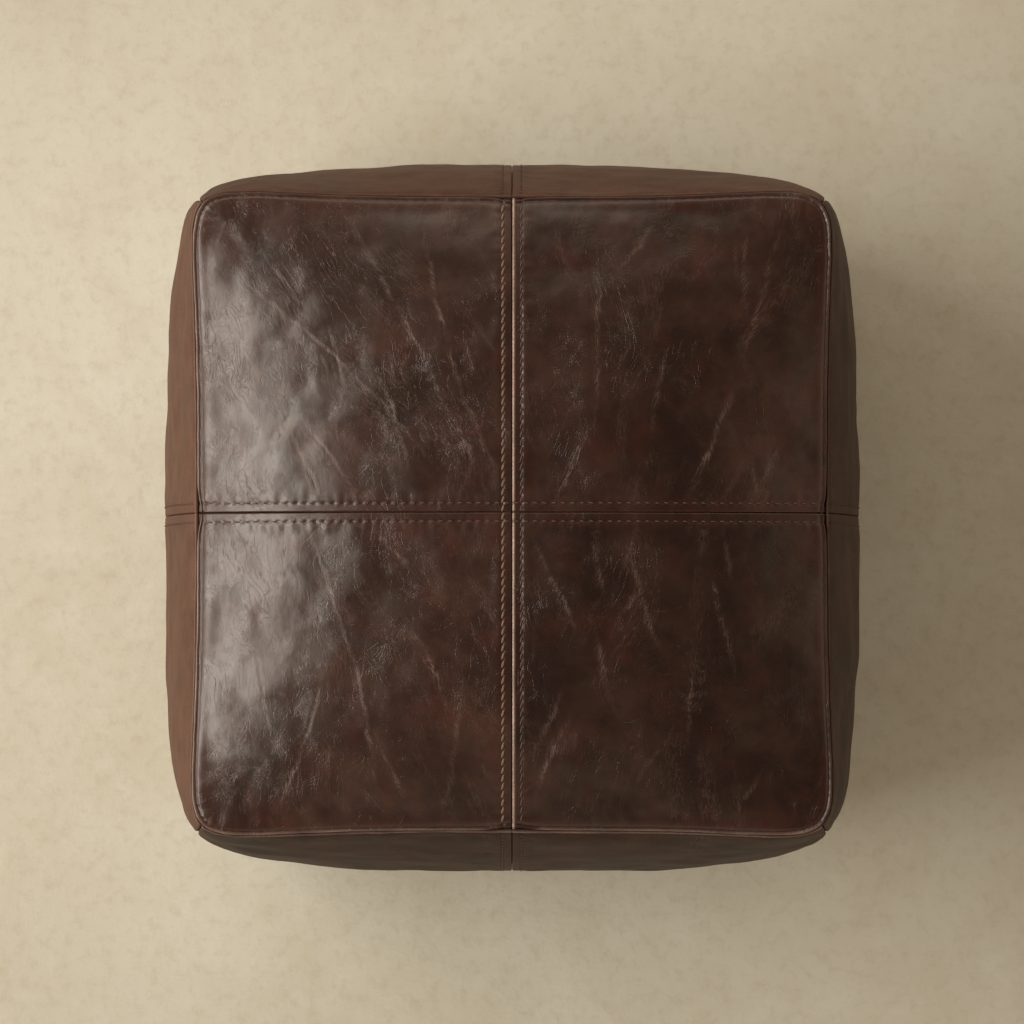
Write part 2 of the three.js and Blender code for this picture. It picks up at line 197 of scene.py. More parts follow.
ROUND_CELLS = 84  # cloth cells across a face
UP_CELLS = 64  # and up a side
FACES = ("top", "base", 0, 1, 2, 3)


def cloth_grid(face):
    """The shares p and q of a face's cloth points, evenly spaced."""
    first = np.linspace(-1, 1, ROUND_CELLS + 1)
    second = first if face in ("top", "base") else np.linspace(0, 1, UP_CELLS + 1)
    return np.meshgrid(first, second, indexing="ij")


def joined_cover():
    """The faces' grids as one closed mesh: points, quads facing out, and each face's grid of point
    numbers."""
    grids = [form(face, *cloth_grid(face)) for face in FACES]
    flat = np.concatenate([grid.reshape(-1, 3) for grid in grids])
    _, first, number = np.unique(np.round(flat, 3), axis=0, return_index=True, return_inverse=True)
    number = number.reshape(-1)
    cells, numbers, start = [], {}, 0
    for face, grid in zip(FACES, grids):
        size = grid.shape[0] * grid.shape[1]
        of_face = number[start : start + size].reshape(grid.shape[:2])
        start += size
        numbers[face] = of_face
        ring = [of_face[:-1, :-1], of_face[1:, :-1], of_face[1:, 1:], of_face[:-1, 1:]]
        if face == "base":
            ring.reverse()
        cells.append(np.stack(ring, -1).reshape(-1, 4))
    return flat[first], np.concatenate(cells), numbers


def unit(vectors):
    """The vectors at length 1."""
    return vectors / np.maximum(np.linalg.norm(vectors, axis=-1, keepdims=True), 1e-12)


def outward_ways(points, quads):
    """Each point's outward direction: the mean of its quads' normals, by the cross product of their
    diagonals."""
    corner = points[quads]
    normal = np.cross(corner[:, 2] - corner[:, 0], corner[:, 3] - corner[:, 1])
    total = np.zeros_like(points)
    for k in range(4):
        np.add.at(total, quads[:, k], normal)
    return unit(total)


def seam_points(numbers, count):
    """1 at the cloth points on a seam and 0 elsewhere."""
    on = np.zeros(count)
    middle = ROUND_CELLS // 2
    for face, number in numbers.items():
        on[np.concatenate([number[0], number[-1], number[:, 0], number[:, -1]])] = 1
        on[number[middle]] = 1
        if face in ("top", "base"):
            on[number[:, middle]] = 1
    return on


CLOTH = {
    "quality": 6,
    "mass": 0.25,
    "tension_stiffness": 30,
    "compression_stiffness": 12,
    "shear_stiffness": 12,
    "bending_stiffness": 1.2,
    "air_damping": 4,
    "use_pressure": True,
    "uniform_pressure_force": 3.0,
    "vertex_group_mass": "held",
    "pin_stiffness": 1,
    "vertex_group_shrink": "slack",
    "shrink_min": 0.0,
    "shrink_max": -0.02,
}
CLOTH_STEPS = 24


def settle(points, quads, numbers):
    """Lets the cover swell as cloth a little larger than its seams, and gives how far each point moved."""
    mesh = bpy.data.meshes.new("cover_cloth")
    mesh.from_pydata((points / 1000).tolist(), [], quads.tolist())
    cover = bpy.data.objects.new("cover_cloth", mesh)
    scene.collection.objects.link(cover)
    on_seam = seam_points(numbers, len(points))
    held = cover.vertex_groups.new(name="held")
    slack = cover.vertex_groups.new(name="slack")
    held.add(np.flatnonzero(on_seam).tolist(), 1.0, "REPLACE")
    slack.add(np.flatnonzero(on_seam == 0).tolist(), 1.0, "REPLACE")
    cloth = cover.modifiers.new("cloth", "CLOTH")
    for key, value in CLOTH.items():
        setattr(cloth.settings, key, value)
    cloth.settings.effector_weights.gravity = 0
    cloth.collision_settings.use_self_collision = False
    cloth.point_cache.frame_start = 1
    cloth.point_cache.frame_end = CLOTH_STEPS
    for step in range(1, CLOTH_STEPS + 1):
        scene.frame_set(step)
    settled = cover.evaluated_get(bpy.context.evaluated_depsgraph_get()).to_mesh()
    moved = np.empty(len(points) * 3, np.float32)
    settled.vertices.foreach_get("co", moved)
    moved = moved.reshape(-1, 3).astype(float) * 1000 - points
    scene.frame_set(1)
    bpy.data.objects.remove(cover)
    bpy.data.meshes.remove(mesh)
    return moved


SWELL_LIMIT = 2.2  # how far cloth may move a point
STILL, FREE = 25, 60  # from the zip: where the cloth's move begins and where it is whole

cover_points, cover_quads, cover_numbers = joined_cover()
drift_points = np.zeros_like(cover_points)
drift_points = settle(cover_points, cover_quads, cover_numbers)
distance = np.linalg.norm(drift_points, axis=1, keepdims=True)
drift_points *= np.tanh(distance / SWELL_LIMIT) * SWELL_LIMIT / np.maximum(distance, 1e-9)
outward_points = outward_ways(cover_points + drift_points, cover_quads)
DRIFT = {face: drift_points[number] for face, number in cover_numbers.items()}
OUTWARD = {face: outward_points[number] for face, number in cover_numbers.items()}
# The leather beside the zip is held by it and stays as sewn.
DRIFT["base"] *= smooth(abs(form("base", *cloth_grid("base"))[..., 1:2]), STILL, FREE)


def sampled(grid, a, b):
    """The grid's value at shares a and b of its two ways, on cubic curves that pass through its points."""
    before, after = 2 * grid[:1] - grid[1:2], 2 * grid[-1:] - grid[-2:-1]
    wide = np.concatenate([before, grid, after])
    before, after = 2 * wide[:, :1] - wide[:, 1:2], 2 * wide[:, -1:] - wide[:, -2:-1]
    wide = np.concatenate([before, wide, after], axis=1)
    whole, pull = [], []
    for share, cells in ((a, grid.shape[0] - 1), (b, grid.shape[1] - 1)):
        cell = np.clip(np.floor(share * cells), 0, cells - 1).astype(int)
        f = share * cells - cell
        whole.append(cell)
        pull.append(
            [
                (-f + 2 * f**2 - f**3) / 2,
                (2 - 5 * f**2 + 3 * f**3) / 2,
                (f + 4 * f**2 - 3 * f**3) / 2,
                (f**3 - f**2) / 2,
            ]
        )
    total = 0
    for i in range(4):
        for j in range(4):
            total = total + (pull[0][i] * pull[1][j])[..., None] * wide[whole[0] + i, whole[1] + j]
    return total


def grid_shares(face, p, q):
    """p and q as shares from 0 to 1 of a face's grid."""
    return (p + 1) / 2, (q + 1) / 2 if face in ("top", "base") else q


def outward(face, p, q):
    """The settled cover's outward direction at p and q."""
    return unit(sampled(OUTWARD[face], *grid_shares(face, p, q)))


def place(face, p, q, height):
    """The settled cover's point at p and q, moved out by height and never onto the floor."""
    point = form(face, p, q) + sampled(DRIFT[face], *grid_shares(face, p, q))
    point = point + outward(face, p, q) * height[..., None]
    point[..., 2] = np.maximum(point[..., 2], FLOOR_GAP)
    return point


# ---- The leather's relief ----------------------------------------------------------------------------------


def lengths(face, p, q):
    """Shares of a face in millimetres: from the face's middle, but upwards from a side's base rim."""
    return p * ACROSS, q * (ACROSS if face in ("top", "base") else UP)


def from_rim(p, q):
    """How far a place on the top or the base lies from its rim."""
    return (1 - np.maximum(abs(p), abs(q))) * ACROSS


def along_rim(p, q):
    """How far along the nearest part of that rim it lies, from the rim's middle."""
    return np.where(abs(p) > abs(q), q, p) * ACROSS


def fold(distance, radius):
    """How far a rolled edge lies below its leather: a quarter circle that ends upright on the seam."""
    inside = np.clip(radius - distance, 0, radius)
    return radius - np.sqrt(np.maximum(radius**2 - inside**2, 0))


def opened_seam(distance, along, seed, pitch=STITCH_PITCH):
    """Half of an opened seam. From its middle out: a rolled edge, a flat band over the folded leather, a
    row of needle holes at the stitch pitch with small puckers, and the panel's swell."""
    pull = 1 + 0.25 * noise(along / 9, along * 0 + 3.3, seed)
    row = distance - STITCH_OFFSET
    holes = (0.5 + 0.5 * np.cos(2 * np.pi * along / pitch)) ** 2
    puckers = noise(along / 5.5, distance / 30, seed + 1) * hump(row - 3, 5) * smooth(row, -1, 1)
    band = 0.1 * noise(along / 12, distance / 4, seed + 2) * hump(distance - 3, 2.5)
    return (
        -1.5 * fold(distance, 1.1)
        + band
        - (0.22 + 0.4 * holes) * pull * hump(row, 0.8)
        + 0.16 * pull * hump(row - 3.5, 3.2)
        + 0.22 * puckers
    )


def standing_edge(distance, along, seed):
    """A rolled edge that stands proud of the one it meets: a quick rise from the seam, then a fall. It is
    pressed down where the two rows of the other seam cross it."""
    high = 0.72 + 0.1 * noise(along / 18, along * 0, seed) - 0.3 * hump(abs(along) - STITCH_OFFSET, 1.0)
    return high * (smooth(distance, -0.4, 0.9) - smooth(distance, 1.2, 3.4))


def top_rim(distance, along, seed):
    """The top panel's edge at its rim: a narrow rolled bead with a sewn valley behind it. Its groove widens
    where the side's own seam meets it."""
    wide = 2.3 * hump(along, 11) + 0.25 * noise(along / 14, along * 0, seed)
    bead = 0.5 * hump(distance - wide - 1.2, 0.75) - 0.45 * hump(distance - wide - 3.0, 0.7)
    puckers = noise(along / 8, distance / 40, seed + 1) * hump(distance - 6, 8)
    sewn = 0.5 + 0.5 * np.cos(2 * np.pi * along / STITCH_PITCH)
    dimples = 0.22 * sewn * hump(distance - wide - 3.0, 0.7)
    swell = 0.25 * hump(distance - 6, 3.2)
    return -2.0 * fold(distance - wide, 1.1) + bead - dimples + swell + 0.26 * puckers


def side_rim(distance, along, seed):
    """The side panel's edge at a rim: a narrow rolled bead standing beside the groove, then a shallow
    hollow."""
    bead = 0.8 * hump(distance - 1.4, 0.8) * (1 + 0.15 * noise(along / 10, along * 0, seed))
    puckers = noise(along / 9, distance / 40, seed + 1) * hump(distance - 7, 8)
    return -1.9 * fold(distance, 0.9) + bead - 0.45 * hump(distance - 4.2, 2.0) + 0.35 * puckers


def plain_seam(distance, along, seed):
    """Half of a plain seam: a rolled edge, small puckers and broader gathers."""
    puckers = noise(along / 9, distance / 40, seed) * hump(distance - 5, 6)
    gathers = noise(along / 26, distance / 60, seed + 4) * hump(distance - 16, 13)
    return -1.3 * fold(distance, 2.4) + 0.3 * hump(distance - 4.5, 2.8) + 0.45 * puckers + 0.9 * gathers


# The long creases of the top, in millimetres from its middle: across, along, heading in degrees and length.
LONG_CREASES = np.array(
    [
        (-62, 108, -64, 190),
        (-42, 107, -74, 165),
        (-112, 96, -43, 165),
        (-117, 103, -75, 42),
        (-140, 35, -67, 66),
        (-80, 66, -70, 68),
        (-122, 38, -51, 44),
        (-150, 150, -50, 40),
        (-107, -94, -74, 175),
        (-55, -99, -63, 62),
        (-137, -149, -107, 76),
        (-38, -158, -97, 64),
        (-79, -170, -67, 52),
        (-165, -120, -80, 45),
        (56, 112, -90, 100),
        (39, 31, -113, 54),
        (165, 142, -107, 78),
        (133, 46, -113, 70),
        (154, 160, -86, 48),
        (96, 78, -100, 45),
        (28, -49, -64, 54),
        (60, -106, -76, 56),
        (26, -161, -115, 50),
        (93, -161, -124, 38),
        (155, -182, -130, 28),
        (85, -55, -74, 64),
        (140, -72, -76, 56),
        (118, -120, -95, 44),
    ],
    float,
)


def random_creases(seed, count, heading):
    """Short creases strewn over a face, most of them near one heading."""
    chance = np.random.default_rng(seed)
    where = chance.uniform(-0.93 * ACROSS, 0.93 * ACROSS, (count, 2))
    turned = heading + chance.normal(0, 16, count)
    return np.column_stack([where, turned, 14 + 34 * chance.random(count) ** 2])


def crease_relief(a, b, seed, creases):
    """Valleys between low lips, each along its own bent line: -exp(-(x / w)^2) + 0.5 exp(-((|x| - 2.2 w) /
    w)^2) across it, and exp(-(2 t / length)^4) along it. Gives the height and how near each place is to a
    crease."""
    height, near = np.zeros_like(a), np.zeros_like(a)
    for number, (across, along, heading, length) in enumerate(creases):
        chance = np.random.default_rng(1000 * seed + number)
        turn = math.radians(heading)
        bend, wobble, deep, wide = chance.uniform((-0.0012, 0, 0.06, 0.7), (0.0012, 60, 0.17, 1.1))
        t = (a - across) * math.cos(turn) + (b - along) * math.sin(turn)
        x = (b - along) * math.cos(turn) - (a - across) * math.sin(turn) - bend * t * t
        close = (abs(t) < 0.75 * length) & (abs(x) < 12)
        t, x = t[close], x[close]
        x = x - 1.8 * noise(t / 22, t * 0 + wobble, seed) - 0.7 * noise(t / 7, t * 0 + wobble, seed + 1)
        here = np.exp(-((t / (0.5 * length)) ** 4)) * (0.6 + 0.6 * noise(t / 16, t * 0 + wobble, seed + 2))
        here = here * min(1, 0.35 + length / 90)
        spread = 1.5 + 2.2 * noise(t / 13, t * 0 + wobble + 9, seed) ** 2
        height[close] += deep * here * (-hump(x, wide) + 0.5 * hump(abs(x) - 2.2 * wide, wide))
        near[close] = np.maximum(near[close], here * hump(x, spread))
    return height, near


def hide_relief(a, b, seed, creases):
    """The unevenness of stuffed leather: soft lumps of the filling, ripples, and creases. Gives the height
    and how near each place is to a crease."""
    bent_a = a + 6 * noise(a / 30, b / 30, seed + 6)
    bent_b = b + 6 * noise(a / 30, b / 30, seed + 7)
    lumps = 0.95 * noise(a / 40, b / 36, seed) + 0.36 * noise(bent_a / 19, bent_b / 17, seed + 5)
    rippled = 0.4 + 0.6 * smooth(noise(a / 45, b / 45, seed + 9), -0.35, 0.4)
    ripples = 0.06 * rippled * noise(bent_a / 6.5, bent_b / 7, seed + 8)
    fine = 0.014 * noise(a / 3.0, b / 3.8, seed + 30)
    height, near = crease_relief(a, b, seed, creases)
    return lumps + ripples + fine + height, np.clip(near, 0, 1)


def slump(a, b, seed):
    """How a heavy side hangs: broad hollows, soft folds that lie level and gather towards the base, and
    drag lines that run up and in from its lower corners."""
    low = 1 - smooth(b, 40, 220)
    folds = noise(a / 85 + 0.4 * noise(a / 60, b / 60, seed + 61), b / 24, seed + 62)
    aslant = (abs(a) - ACROSS) * 0.62 + b * 0.55
    drags = noise(aslant / 15, (b - abs(a)) / 90, seed + 63) * hump(b - 40, 75) * smooth(abs(a), 60, 170)
    return 2.0 * noise(a / 95, b / 80, seed + 64) + (0.5 + 1.7 * low) * folds + 1.5 * drags


def relief(face, p, q, seed, creases):
    """The leather's height over the settled cover, in millimetres, and how creased it is."""
    a, b = lengths(face, p, q)
    height, crease = hide_relief(a, b, seed, creases)
    if face == "top":
        level = from_rim(p, q)
        calm = smooth(level, 2, 16) * smooth(abs(a), 6, 16) * smooth(abs(b), 6, 16)
        height, crease = height * mix(0.25, 1, calm), crease * calm
        height = height + opened_seam(abs(a), b, 11 + seed % 2, ROPE_PITCH)
        standing = standing_edge(abs(a), b, 19) + 1.3 * fold(abs(a), 1.1)
        height = height + np.where(a > 0, standing, -0.3 * hump(a, 1.7))
        cross_seam = opened_seam(abs(b), a, 17 + seed % 3)
        height = height + cross_seam * mix(0.45, 1, smooth(abs(a), 4, 7.5))
        height = height + top_rim(level, along_rim(p, q), 23 + seed % 5)
    elif face == "base":
        level = from_rim(p, q)
        height = height * 0.3 * smooth(level, 2, 16) + plain_seam(level, along_rim(p, q), 31)
        closed = smooth(abs(a), SLOT_HALF_LENGTH, SLOT_HALF_LENGTH + 6)
        height = height - 0.9 * fold(abs(b), 1.2) * closed
        holes = 0.5 + 0.5 * np.cos(2 * np.pi * a / STITCH_PITCH)
        height = height - (0.2 + 0.25 * holes) * hump(abs(b) - ZIP_ROW, 0.8)
        crease = crease * 0.4
    else:
        corner, base, top = (1 - abs(p)) * ACROSS, b, UP - b
        calm = smooth(corner, 2, 14) * smooth(base, 2, 14) * smooth(top, 2, 14) * smooth(abs(a), 6, 14)
        height, crease = (height + slump(a, b, seed)) * mix(0.25, 1, calm), crease * calm
        height = height + opened_seam(abs(a), b, 41 + seed % 7) * smooth(top, 0.5, 5)
        height = height + side_rim(top, a, 47 + seed % 5) + plain_seam(base, a, 53 + seed % 3)
        height = height + plain_seam(corner, b, 59 + seed % 3)
    return height, crease


def leather_height(face, p, q):
    """The relief without its creases at any places of a face, each with the random draws of its own panel.
    The panels are numbered in the order in which they are made below."""
    if face == "top":
        panel = 1 + (p > 0) + 2 * (q > 0)
    elif face == "base":
        panel = 13 + (q > 0)
    else:
        panel = 5 + 2 * face + (p > 0)
    height = np.zeros_like(p)
    for number in np.unique(panel):
        here = panel == number
        height[here], _ = relief(face, p[here], q[here], int(number), [])
    return height


def seam_nearness(face, p, q):
    """1 on a seam, falling to 0 at 12 mm from it: where the leather is folded under and what lies below
    gives. The base's own seam counts only past the ends of the zip's slot."""
    a, b = lengths(face, abs(p), q)
    rim = from_rim(p, q)
    beside_zip = 20 * (1 - smooth(a, SLOT_HALF_LENGTH, SLOT_HALF_LENGTH + 6))
    of_side = [a, ACROSS - a, b, UP - b]
    distances = {"top": [rim, a, abs(b)], "base": [rim, abs(b) + beside_zip]}.get(face, of_side)
    return np.max([1 - smooth(distance, 6.5, 12) for distance in distances], axis=0)


def painted_edge_highlights(face, p, q, amount):
    """Painted highlight along edges that catch the light: the long seam's standing edge and the beads along
    the top's rim, which show it most on the left and the front, and each side's top edge."""
    a, b = lengths(face, p, q)
    if face == "base":
        return np.zeros_like(a)
    if face != "top":
        return amount * hump(UP - b - 1.5, 1.0) * (0.75 + 0.5 * noise(a / 25, a * 0 + 0.7, 91))
    crossed = (1 - 0.8 * hump(abs(b) - STITCH_OFFSET, 1.0)) * (1 - hump(b, 0.8))
    standing = hump(a - 0.95, 0.7) * crossed * (0.85 + 0.4 * noise(b / 25, b * 0 + 0.7, 92))
    along = along_rim(p, q)
    left = smooth(-p - abs(q), -0.04, 0.04)
    front = smooth(-q - abs(p), -0.04, 0.04)
    bead = (0.04 + 0.26 * left + 0.2 * front) * hump(from_rim(p, q) - 1.2, 0.8) * smooth(abs(along), 10, 24)
    return np.maximum(amount * standing, bead * (0.8 + 0.5 * noise(along / 25, along * 0, 93)))


# ---- Meshes ------------------------------------------------------------------------------------------------


def new_piece(name, points, rings, maps=None, values=None):
    """A mesh object at the origin from points in millimetres and rings of point numbers, shaded smooth."""
    mesh = bpy.data.meshes.new(name)
    totals = np.concatenate([np.full(len(ring), ring.shape[1]) for ring in rings])
    corners = np.concatenate([ring.reshape(-1) for ring in rings]).astype(np.int32)
    mesh.vertices.add(len(points))
    mesh.vertices.foreach_set("co", (points / 1000).astype(np.float32).reshape(-1))
    mesh.loops.add(len(corners))
    mesh.loops.foreach_set("vertex_index", corners)
    mesh.polygons.add(len(totals))
    mesh.polygons.foreach_set("loop_start", np.concatenate([[0], np.cumsum(totals)[:-1]]).astype(np.int32))
    mesh.polygons.foreach_set("use_smooth", np.ones(len(totals), bool))
    for key, uv in (maps or {}).items():
        layer = mesh.uv_layers.new(name=key)
        layer.data.foreach_set("uv", (uv / 1000).astype(np.float32)[corners].reshape(-1))
    for key, value in (values or {}).items():
        mesh.attributes.new(key, "FLOAT", "POINT").data.foreach_set("value", value.astype(np.float32))
    mesh.update(calc_edges=True)
    mesh.validate()
    piece = bpy.data.objects.new(name, mesh)
    scene.collection.objects.link(piece)
    return piece


def grid_ring(numbers):
    """The quads between a grid of point numbers."""
    ring = [numbers[:-1, :-1], numbers[1:, :-1], numbers[1:, 1:], numbers[:-1, 1:]]
    return np.stack(ring, -1).reshape(-1, 4)


def border(numbers):
    """A grid's outermost point numbers, once round."""
    return np.concatenate([numbers[:-1, 0], numbers[-1, :-1], numbers[:0:-1, -1], numbers[0, :0:-1]])


def slab(outer, inner, step):
    """A closed sheet: a fine outer face, an inner face with every step-th line, and a wall round the border.

    The inner face's outermost cells take in the border's skipped points, so nothing is left open. Gives the
    points, the rings of point numbers and, for each point, the number of the outer point that it belongs to.
    """
    n, m = outer.shape[:2]
    numbers = np.arange(n * m).reshape(n, m)
    below = np.full((n, m), -1)
    keep = np.zeros((n, m), bool)
    keep[::step, ::step] = True
    keep[[0, -1]] = True
    keep[:, [0, -1]] = True
    below[keep] = n * m + np.arange(keep.sum())
    points = np.concatenate([outer.reshape(-1, 3), inner[keep]])
    origin = np.concatenate([numbers.reshape(-1), numbers[keep]])
    rim_out, rim_in = border(numbers), border(below)
    wall = np.stack([rim_out, rim_in, np.roll(rim_in, -1), np.roll(rim_out, -1)], -1)
    coarse = below[::step, ::step]
    rings = [grid_ring(numbers), wall, grid_ring(coarse[1:-1, 1:-1])[:, ::-1]]
    columns, rows = coarse.shape[0] - 1, coarse.shape[1] - 1
    for i in range(columns):
        for j in range(rows) if i in (0, columns - 1) else (0, rows - 1):
            patch = below[i * step : (i + 1) * step + 1, j * step : (j + 1) * step + 1]
            ring = border(patch)
            rings.append(ring[ring >= 0][::-1][None])
    return points, rings, origin


INNER_STEP = 4  # the leather's hidden face keeps every fourth line
CELL_GROWTH = 0.085  # how much wider a cell is for each millimetre from the sheet's edge


def lines(low, high, length, finest, coarsest):
    """Grid lines from low to high over a length in millimetres, whose cells grow from finest at both ends to
    coarsest. Their number of cells is a multiple of INNER_STEP."""
    at = np.linspace(0, length, 4000)
    cell = np.clip(finest + CELL_GROWTH * np.minimum(at, length - at), finest, coarsest)
    count = np.concatenate([[0], np.cumsum((1 / cell[1:] + 1 / cell[:-1]) / 2 * np.diff(at))])
    cells = max(1, round(count[-1] / INNER_STEP)) * INNER_STEP
    return low + (high - low) * np.interp(np.linspace(0, count[-1], cells + 1), count, at) / length


HIDE_SPACING = 700.0  # between two panels' places in the patterns of the hide


def grain_way(a, b, seed, heading):
    """Lengths across and along the leather's grain: turned to a heading, and bent by slow waves."""
    bent_a = a + 18 * noise(a / 70, b / 70, seed + 40)
    bent_b = b + 18 * noise(a / 70, b / 70, seed + 41)
    turn = math.radians(heading)
    along = bent_a * math.cos(turn) + bent_b * math.sin(turn)
    return bent_b * math.cos(turn) - bent_a * math.sin(turn), along


def panel(name, face, p, q, seed, heading, creases, painted_light_and_shade=0.0, painted_highlight=0.0):
    """A leather panel over the grid p and q of a face, folded under at its seams. Its maps follow the hide
    and its grain, and its values say how creased and how near a seam each place is, how much painted light
    and shade its panel takes from how the light falls on it, and how strong the painted highlight on its
    edges is."""
    height, crease = relief(face, p, q, seed, creases)
    outer = place(face, p, q, height)
    thick = LEATHER + TURNED_IN * seam_nearness(face, p, q)
    inner = outer - outward(face, p, q) * thick[..., None]
    points, rings, origin = slab(outer, inner, INNER_STEP)
    if face == "base":
        rings = [ring[:, ::-1] for ring in rings]
    a, b = lengths(face, p, q)
    maps = {}
    for key, (first, second) in {"hide": (a, b), "grain": grain_way(a, b, seed, heading)}.items():
        maps[key] = np.stack([first.reshape(-1) + HIDE_SPACING * seed, second.reshape(-1)], -1)[origin]
    values = {
        "crease": crease,
        "edge": seam_nearness(face, p, q),
        "painted_light_and_shade": np.full_like(p, painted_light_and_shade),
        "painted_highlight": painted_edge_highlights(face, p, q, painted_highlight),
    }
    values = {key: value.reshape(-1)[origin] for key, value in values.items()}
    return new_piece(name, points, rings, maps, values)


def give(piece, material, nodes, body="cover"):
    """Finishes a piece: its material, its body and the frame's nodes that it stands for."""
    piece.data.materials.append(material)
    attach(piece, body)
    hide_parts(*nodes)
    return piece


# ---- Materials ---------------------------------------------------------------------------------------------


class Wire:
    """A shader value that arithmetic works on: each operation adds its Math node."""

    def __init__(self, finish, socket):
        self.finish = finish
        self.socket = socket

    def math(self, operation, *values):
        """An operation on wires and numbers."""
        return self.finish.node("ShaderNodeMath", {"operation": operation}, dict(enumerate(values)))

    def __add__(self, other):
        return self.math("ADD", self, other)

    def __radd__(self, other):
        return self.math("ADD", other, self)

    def __sub__(self, other):
        return self.math("SUBTRACT", self, other)

    def __rsub__(self, other):
        return self.math("SUBTRACT", other, self)

    def __mul__(self, other):
        return self.math("MULTIPLY", self, other)

    def __rmul__(self, other):
        return self.math("MULTIPLY", other, self)

    def __abs__(self):
        return self.math("ABSOLUTE", self)


class Finish:
    """A material under construction, with one method that adds any node."""

    def __init__(self, name):
        self.material = bpy.data.materials.new(name)
        self.material.use_nodes = True
        self.tree = self.material.node_tree
        self.tree.nodes.clear()

    def node(self, kind, settings=None, values=None, output=0):
        """Adds a node, sets its settings and then its sockets, and gives one of its outputs."""
        node = self.tree.nodes.new(kind)
        for key, value in (settings or {}).items():
            setattr(node, key, value)
        for key, value in (values or {}).items():
            if isinstance(value, Wire):
                self.tree.links.new(value.socket, node.inputs[key])
            else:
                node.inputs[key].default_value = value
        return Wire(self, node.outputs[output]) if len(node.outputs) else None

    def own_place(self):
        """Where each point lies on its piece, in metres."""
        return self.node("ShaderNodeTexCoord", {}, {}, 3)

    def painted(self, name):
        """A value that the piece's points carry."""
        return self.node("ShaderNodeAttribute", {"attribute_name": name}, {}, 2)

    def noise(self, vector, scale, detail=2.0, roughness=0.5, distortion=0.0):
        """Clouds of noise, scale of them a metre."""
        values = {"Scale": scale, "Detail": detail, "Roughness": roughness, "Distortion": distortion}
        return self.node("ShaderNodeTexNoise", {}, {"Vector": vector, **values})

    def mapped(self, vector, turn=0.0, scale=(1, 1, 1)):
        """The vector turned about Z and scaled."""
        values = {"Vector": vector, "Rotation": (0, 0, turn), "Scale": scale}
        return self.node("ShaderNodeMapping", {}, values)

    def step(self, value, low, high):
        """0 below low and 1 above high, smoothly."""
        values = {"Value": value, "From Min": low, "From Max": high}
        return self.node("ShaderNodeMapRange", {"interpolation_type": "SMOOTHSTEP"}, values)

    def blend(self, share, first, second):
        """A colour between two, by share."""
        settings = {"data_type": "RGBA"}
        return self.node("ShaderNodeMix", settings, {0: share, 6: first, 7: second}, 2)

    def shifted(self, vector, noise_wire, amount):
        """The vector moved by a coloured noise, amount either way."""
        centred = self.vector("SUBTRACT", {0: noise_wire, 1: (0.5, 0.5, 0.5)})
        scaled = self.vector("SCALE", {0: centred, "Scale": amount * 2})
        return self.vector("ADD", {0: vector, 1: scaled})

    def vector(self, operation, values, output=0):
        """An operation on vectors."""
        return self.node("ShaderNodeVectorMath", {"operation": operation}, values, output)

    def finish(self, colour, roughness, bump=None, **fixed):
        """The surface shader, with a bump height in metres."""
        values = {"Base Color": colour, "Roughness": roughness, **fixed}
        if bump is not None:
            whole = {"Strength": 1.0, "Distance": 1.0, "Height": bump}
            values["Normal"] = self.node("ShaderNodeBump", {}, whole)
        shader = self.node("ShaderNodeBsdfPrincipled", {}, values)
        self.node("ShaderNodeOutputMaterial", {}, {"Surface": shader})
        return self.material


def srgb(red, green, blue):
    """Screen values from 0 to 255 as a linear colour."""
    shares = [value / 255 for value in (red, green, blue)]
    return (*[s / 12.92 if s <= 0.04045 else ((s + 0.055) / 1.055) ** 2.4 for s in shares], 1)


def fans(f, vector, scale, count, drift):
    """Fine wrinkles that run out from scattered points, scale points a metre: the middle level of a noise
    on the direction from the nearest point. count sets how many there are, and drift how they change on
    their way out. Gives the wrinkles and the distance from the point."""
    centre = f.node("ShaderNodeTexVoronoi", {"feature": "F1"}, {"Vector": vector, "Scale": scale}, 2)
    away = f.vector("SUBTRACT", {0: vector, 1: centre})
    flat = f.vector("MULTIPLY", {0: away, 1: (1, 1, 0)})
    reach = f.vector("LENGTH", {0: flat}, 1)
    way = f.vector("NORMALIZE", {0: flat})
    ring = f.vector("SCALE", {0: way, "Scale": count})
    shift = f.vector("SCALE", {0: vector, "Scale": drift})
    place_on_ring = f.vector("ADD", {0: ring, 1: shift})
    return 1 - f.step(abs(f.noise(place_on_ring, 1.0, 2, 0.55) - 0.5), 0.0, 0.05), reach


MM = 0.001  # a millimetre of height in a bump
# Painted light and painted shade: the colours a panel's leather turns towards where more light falls on its
# side than on the others, and where less falls.
PAINTED_LIGHT_COLOURS = (srgb(126, 88, 70), srgb(112, 74, 56))  # where a hide is lighter than the others
PAINTED_SHADE_COLOUR = srgb(20, 11, 8)  # and where it is darker
# Painted highlight: the pale colour of edges that catch the light.
PAINTED_HIGHLIGHT_COLOUR = srgb(206, 178, 160)


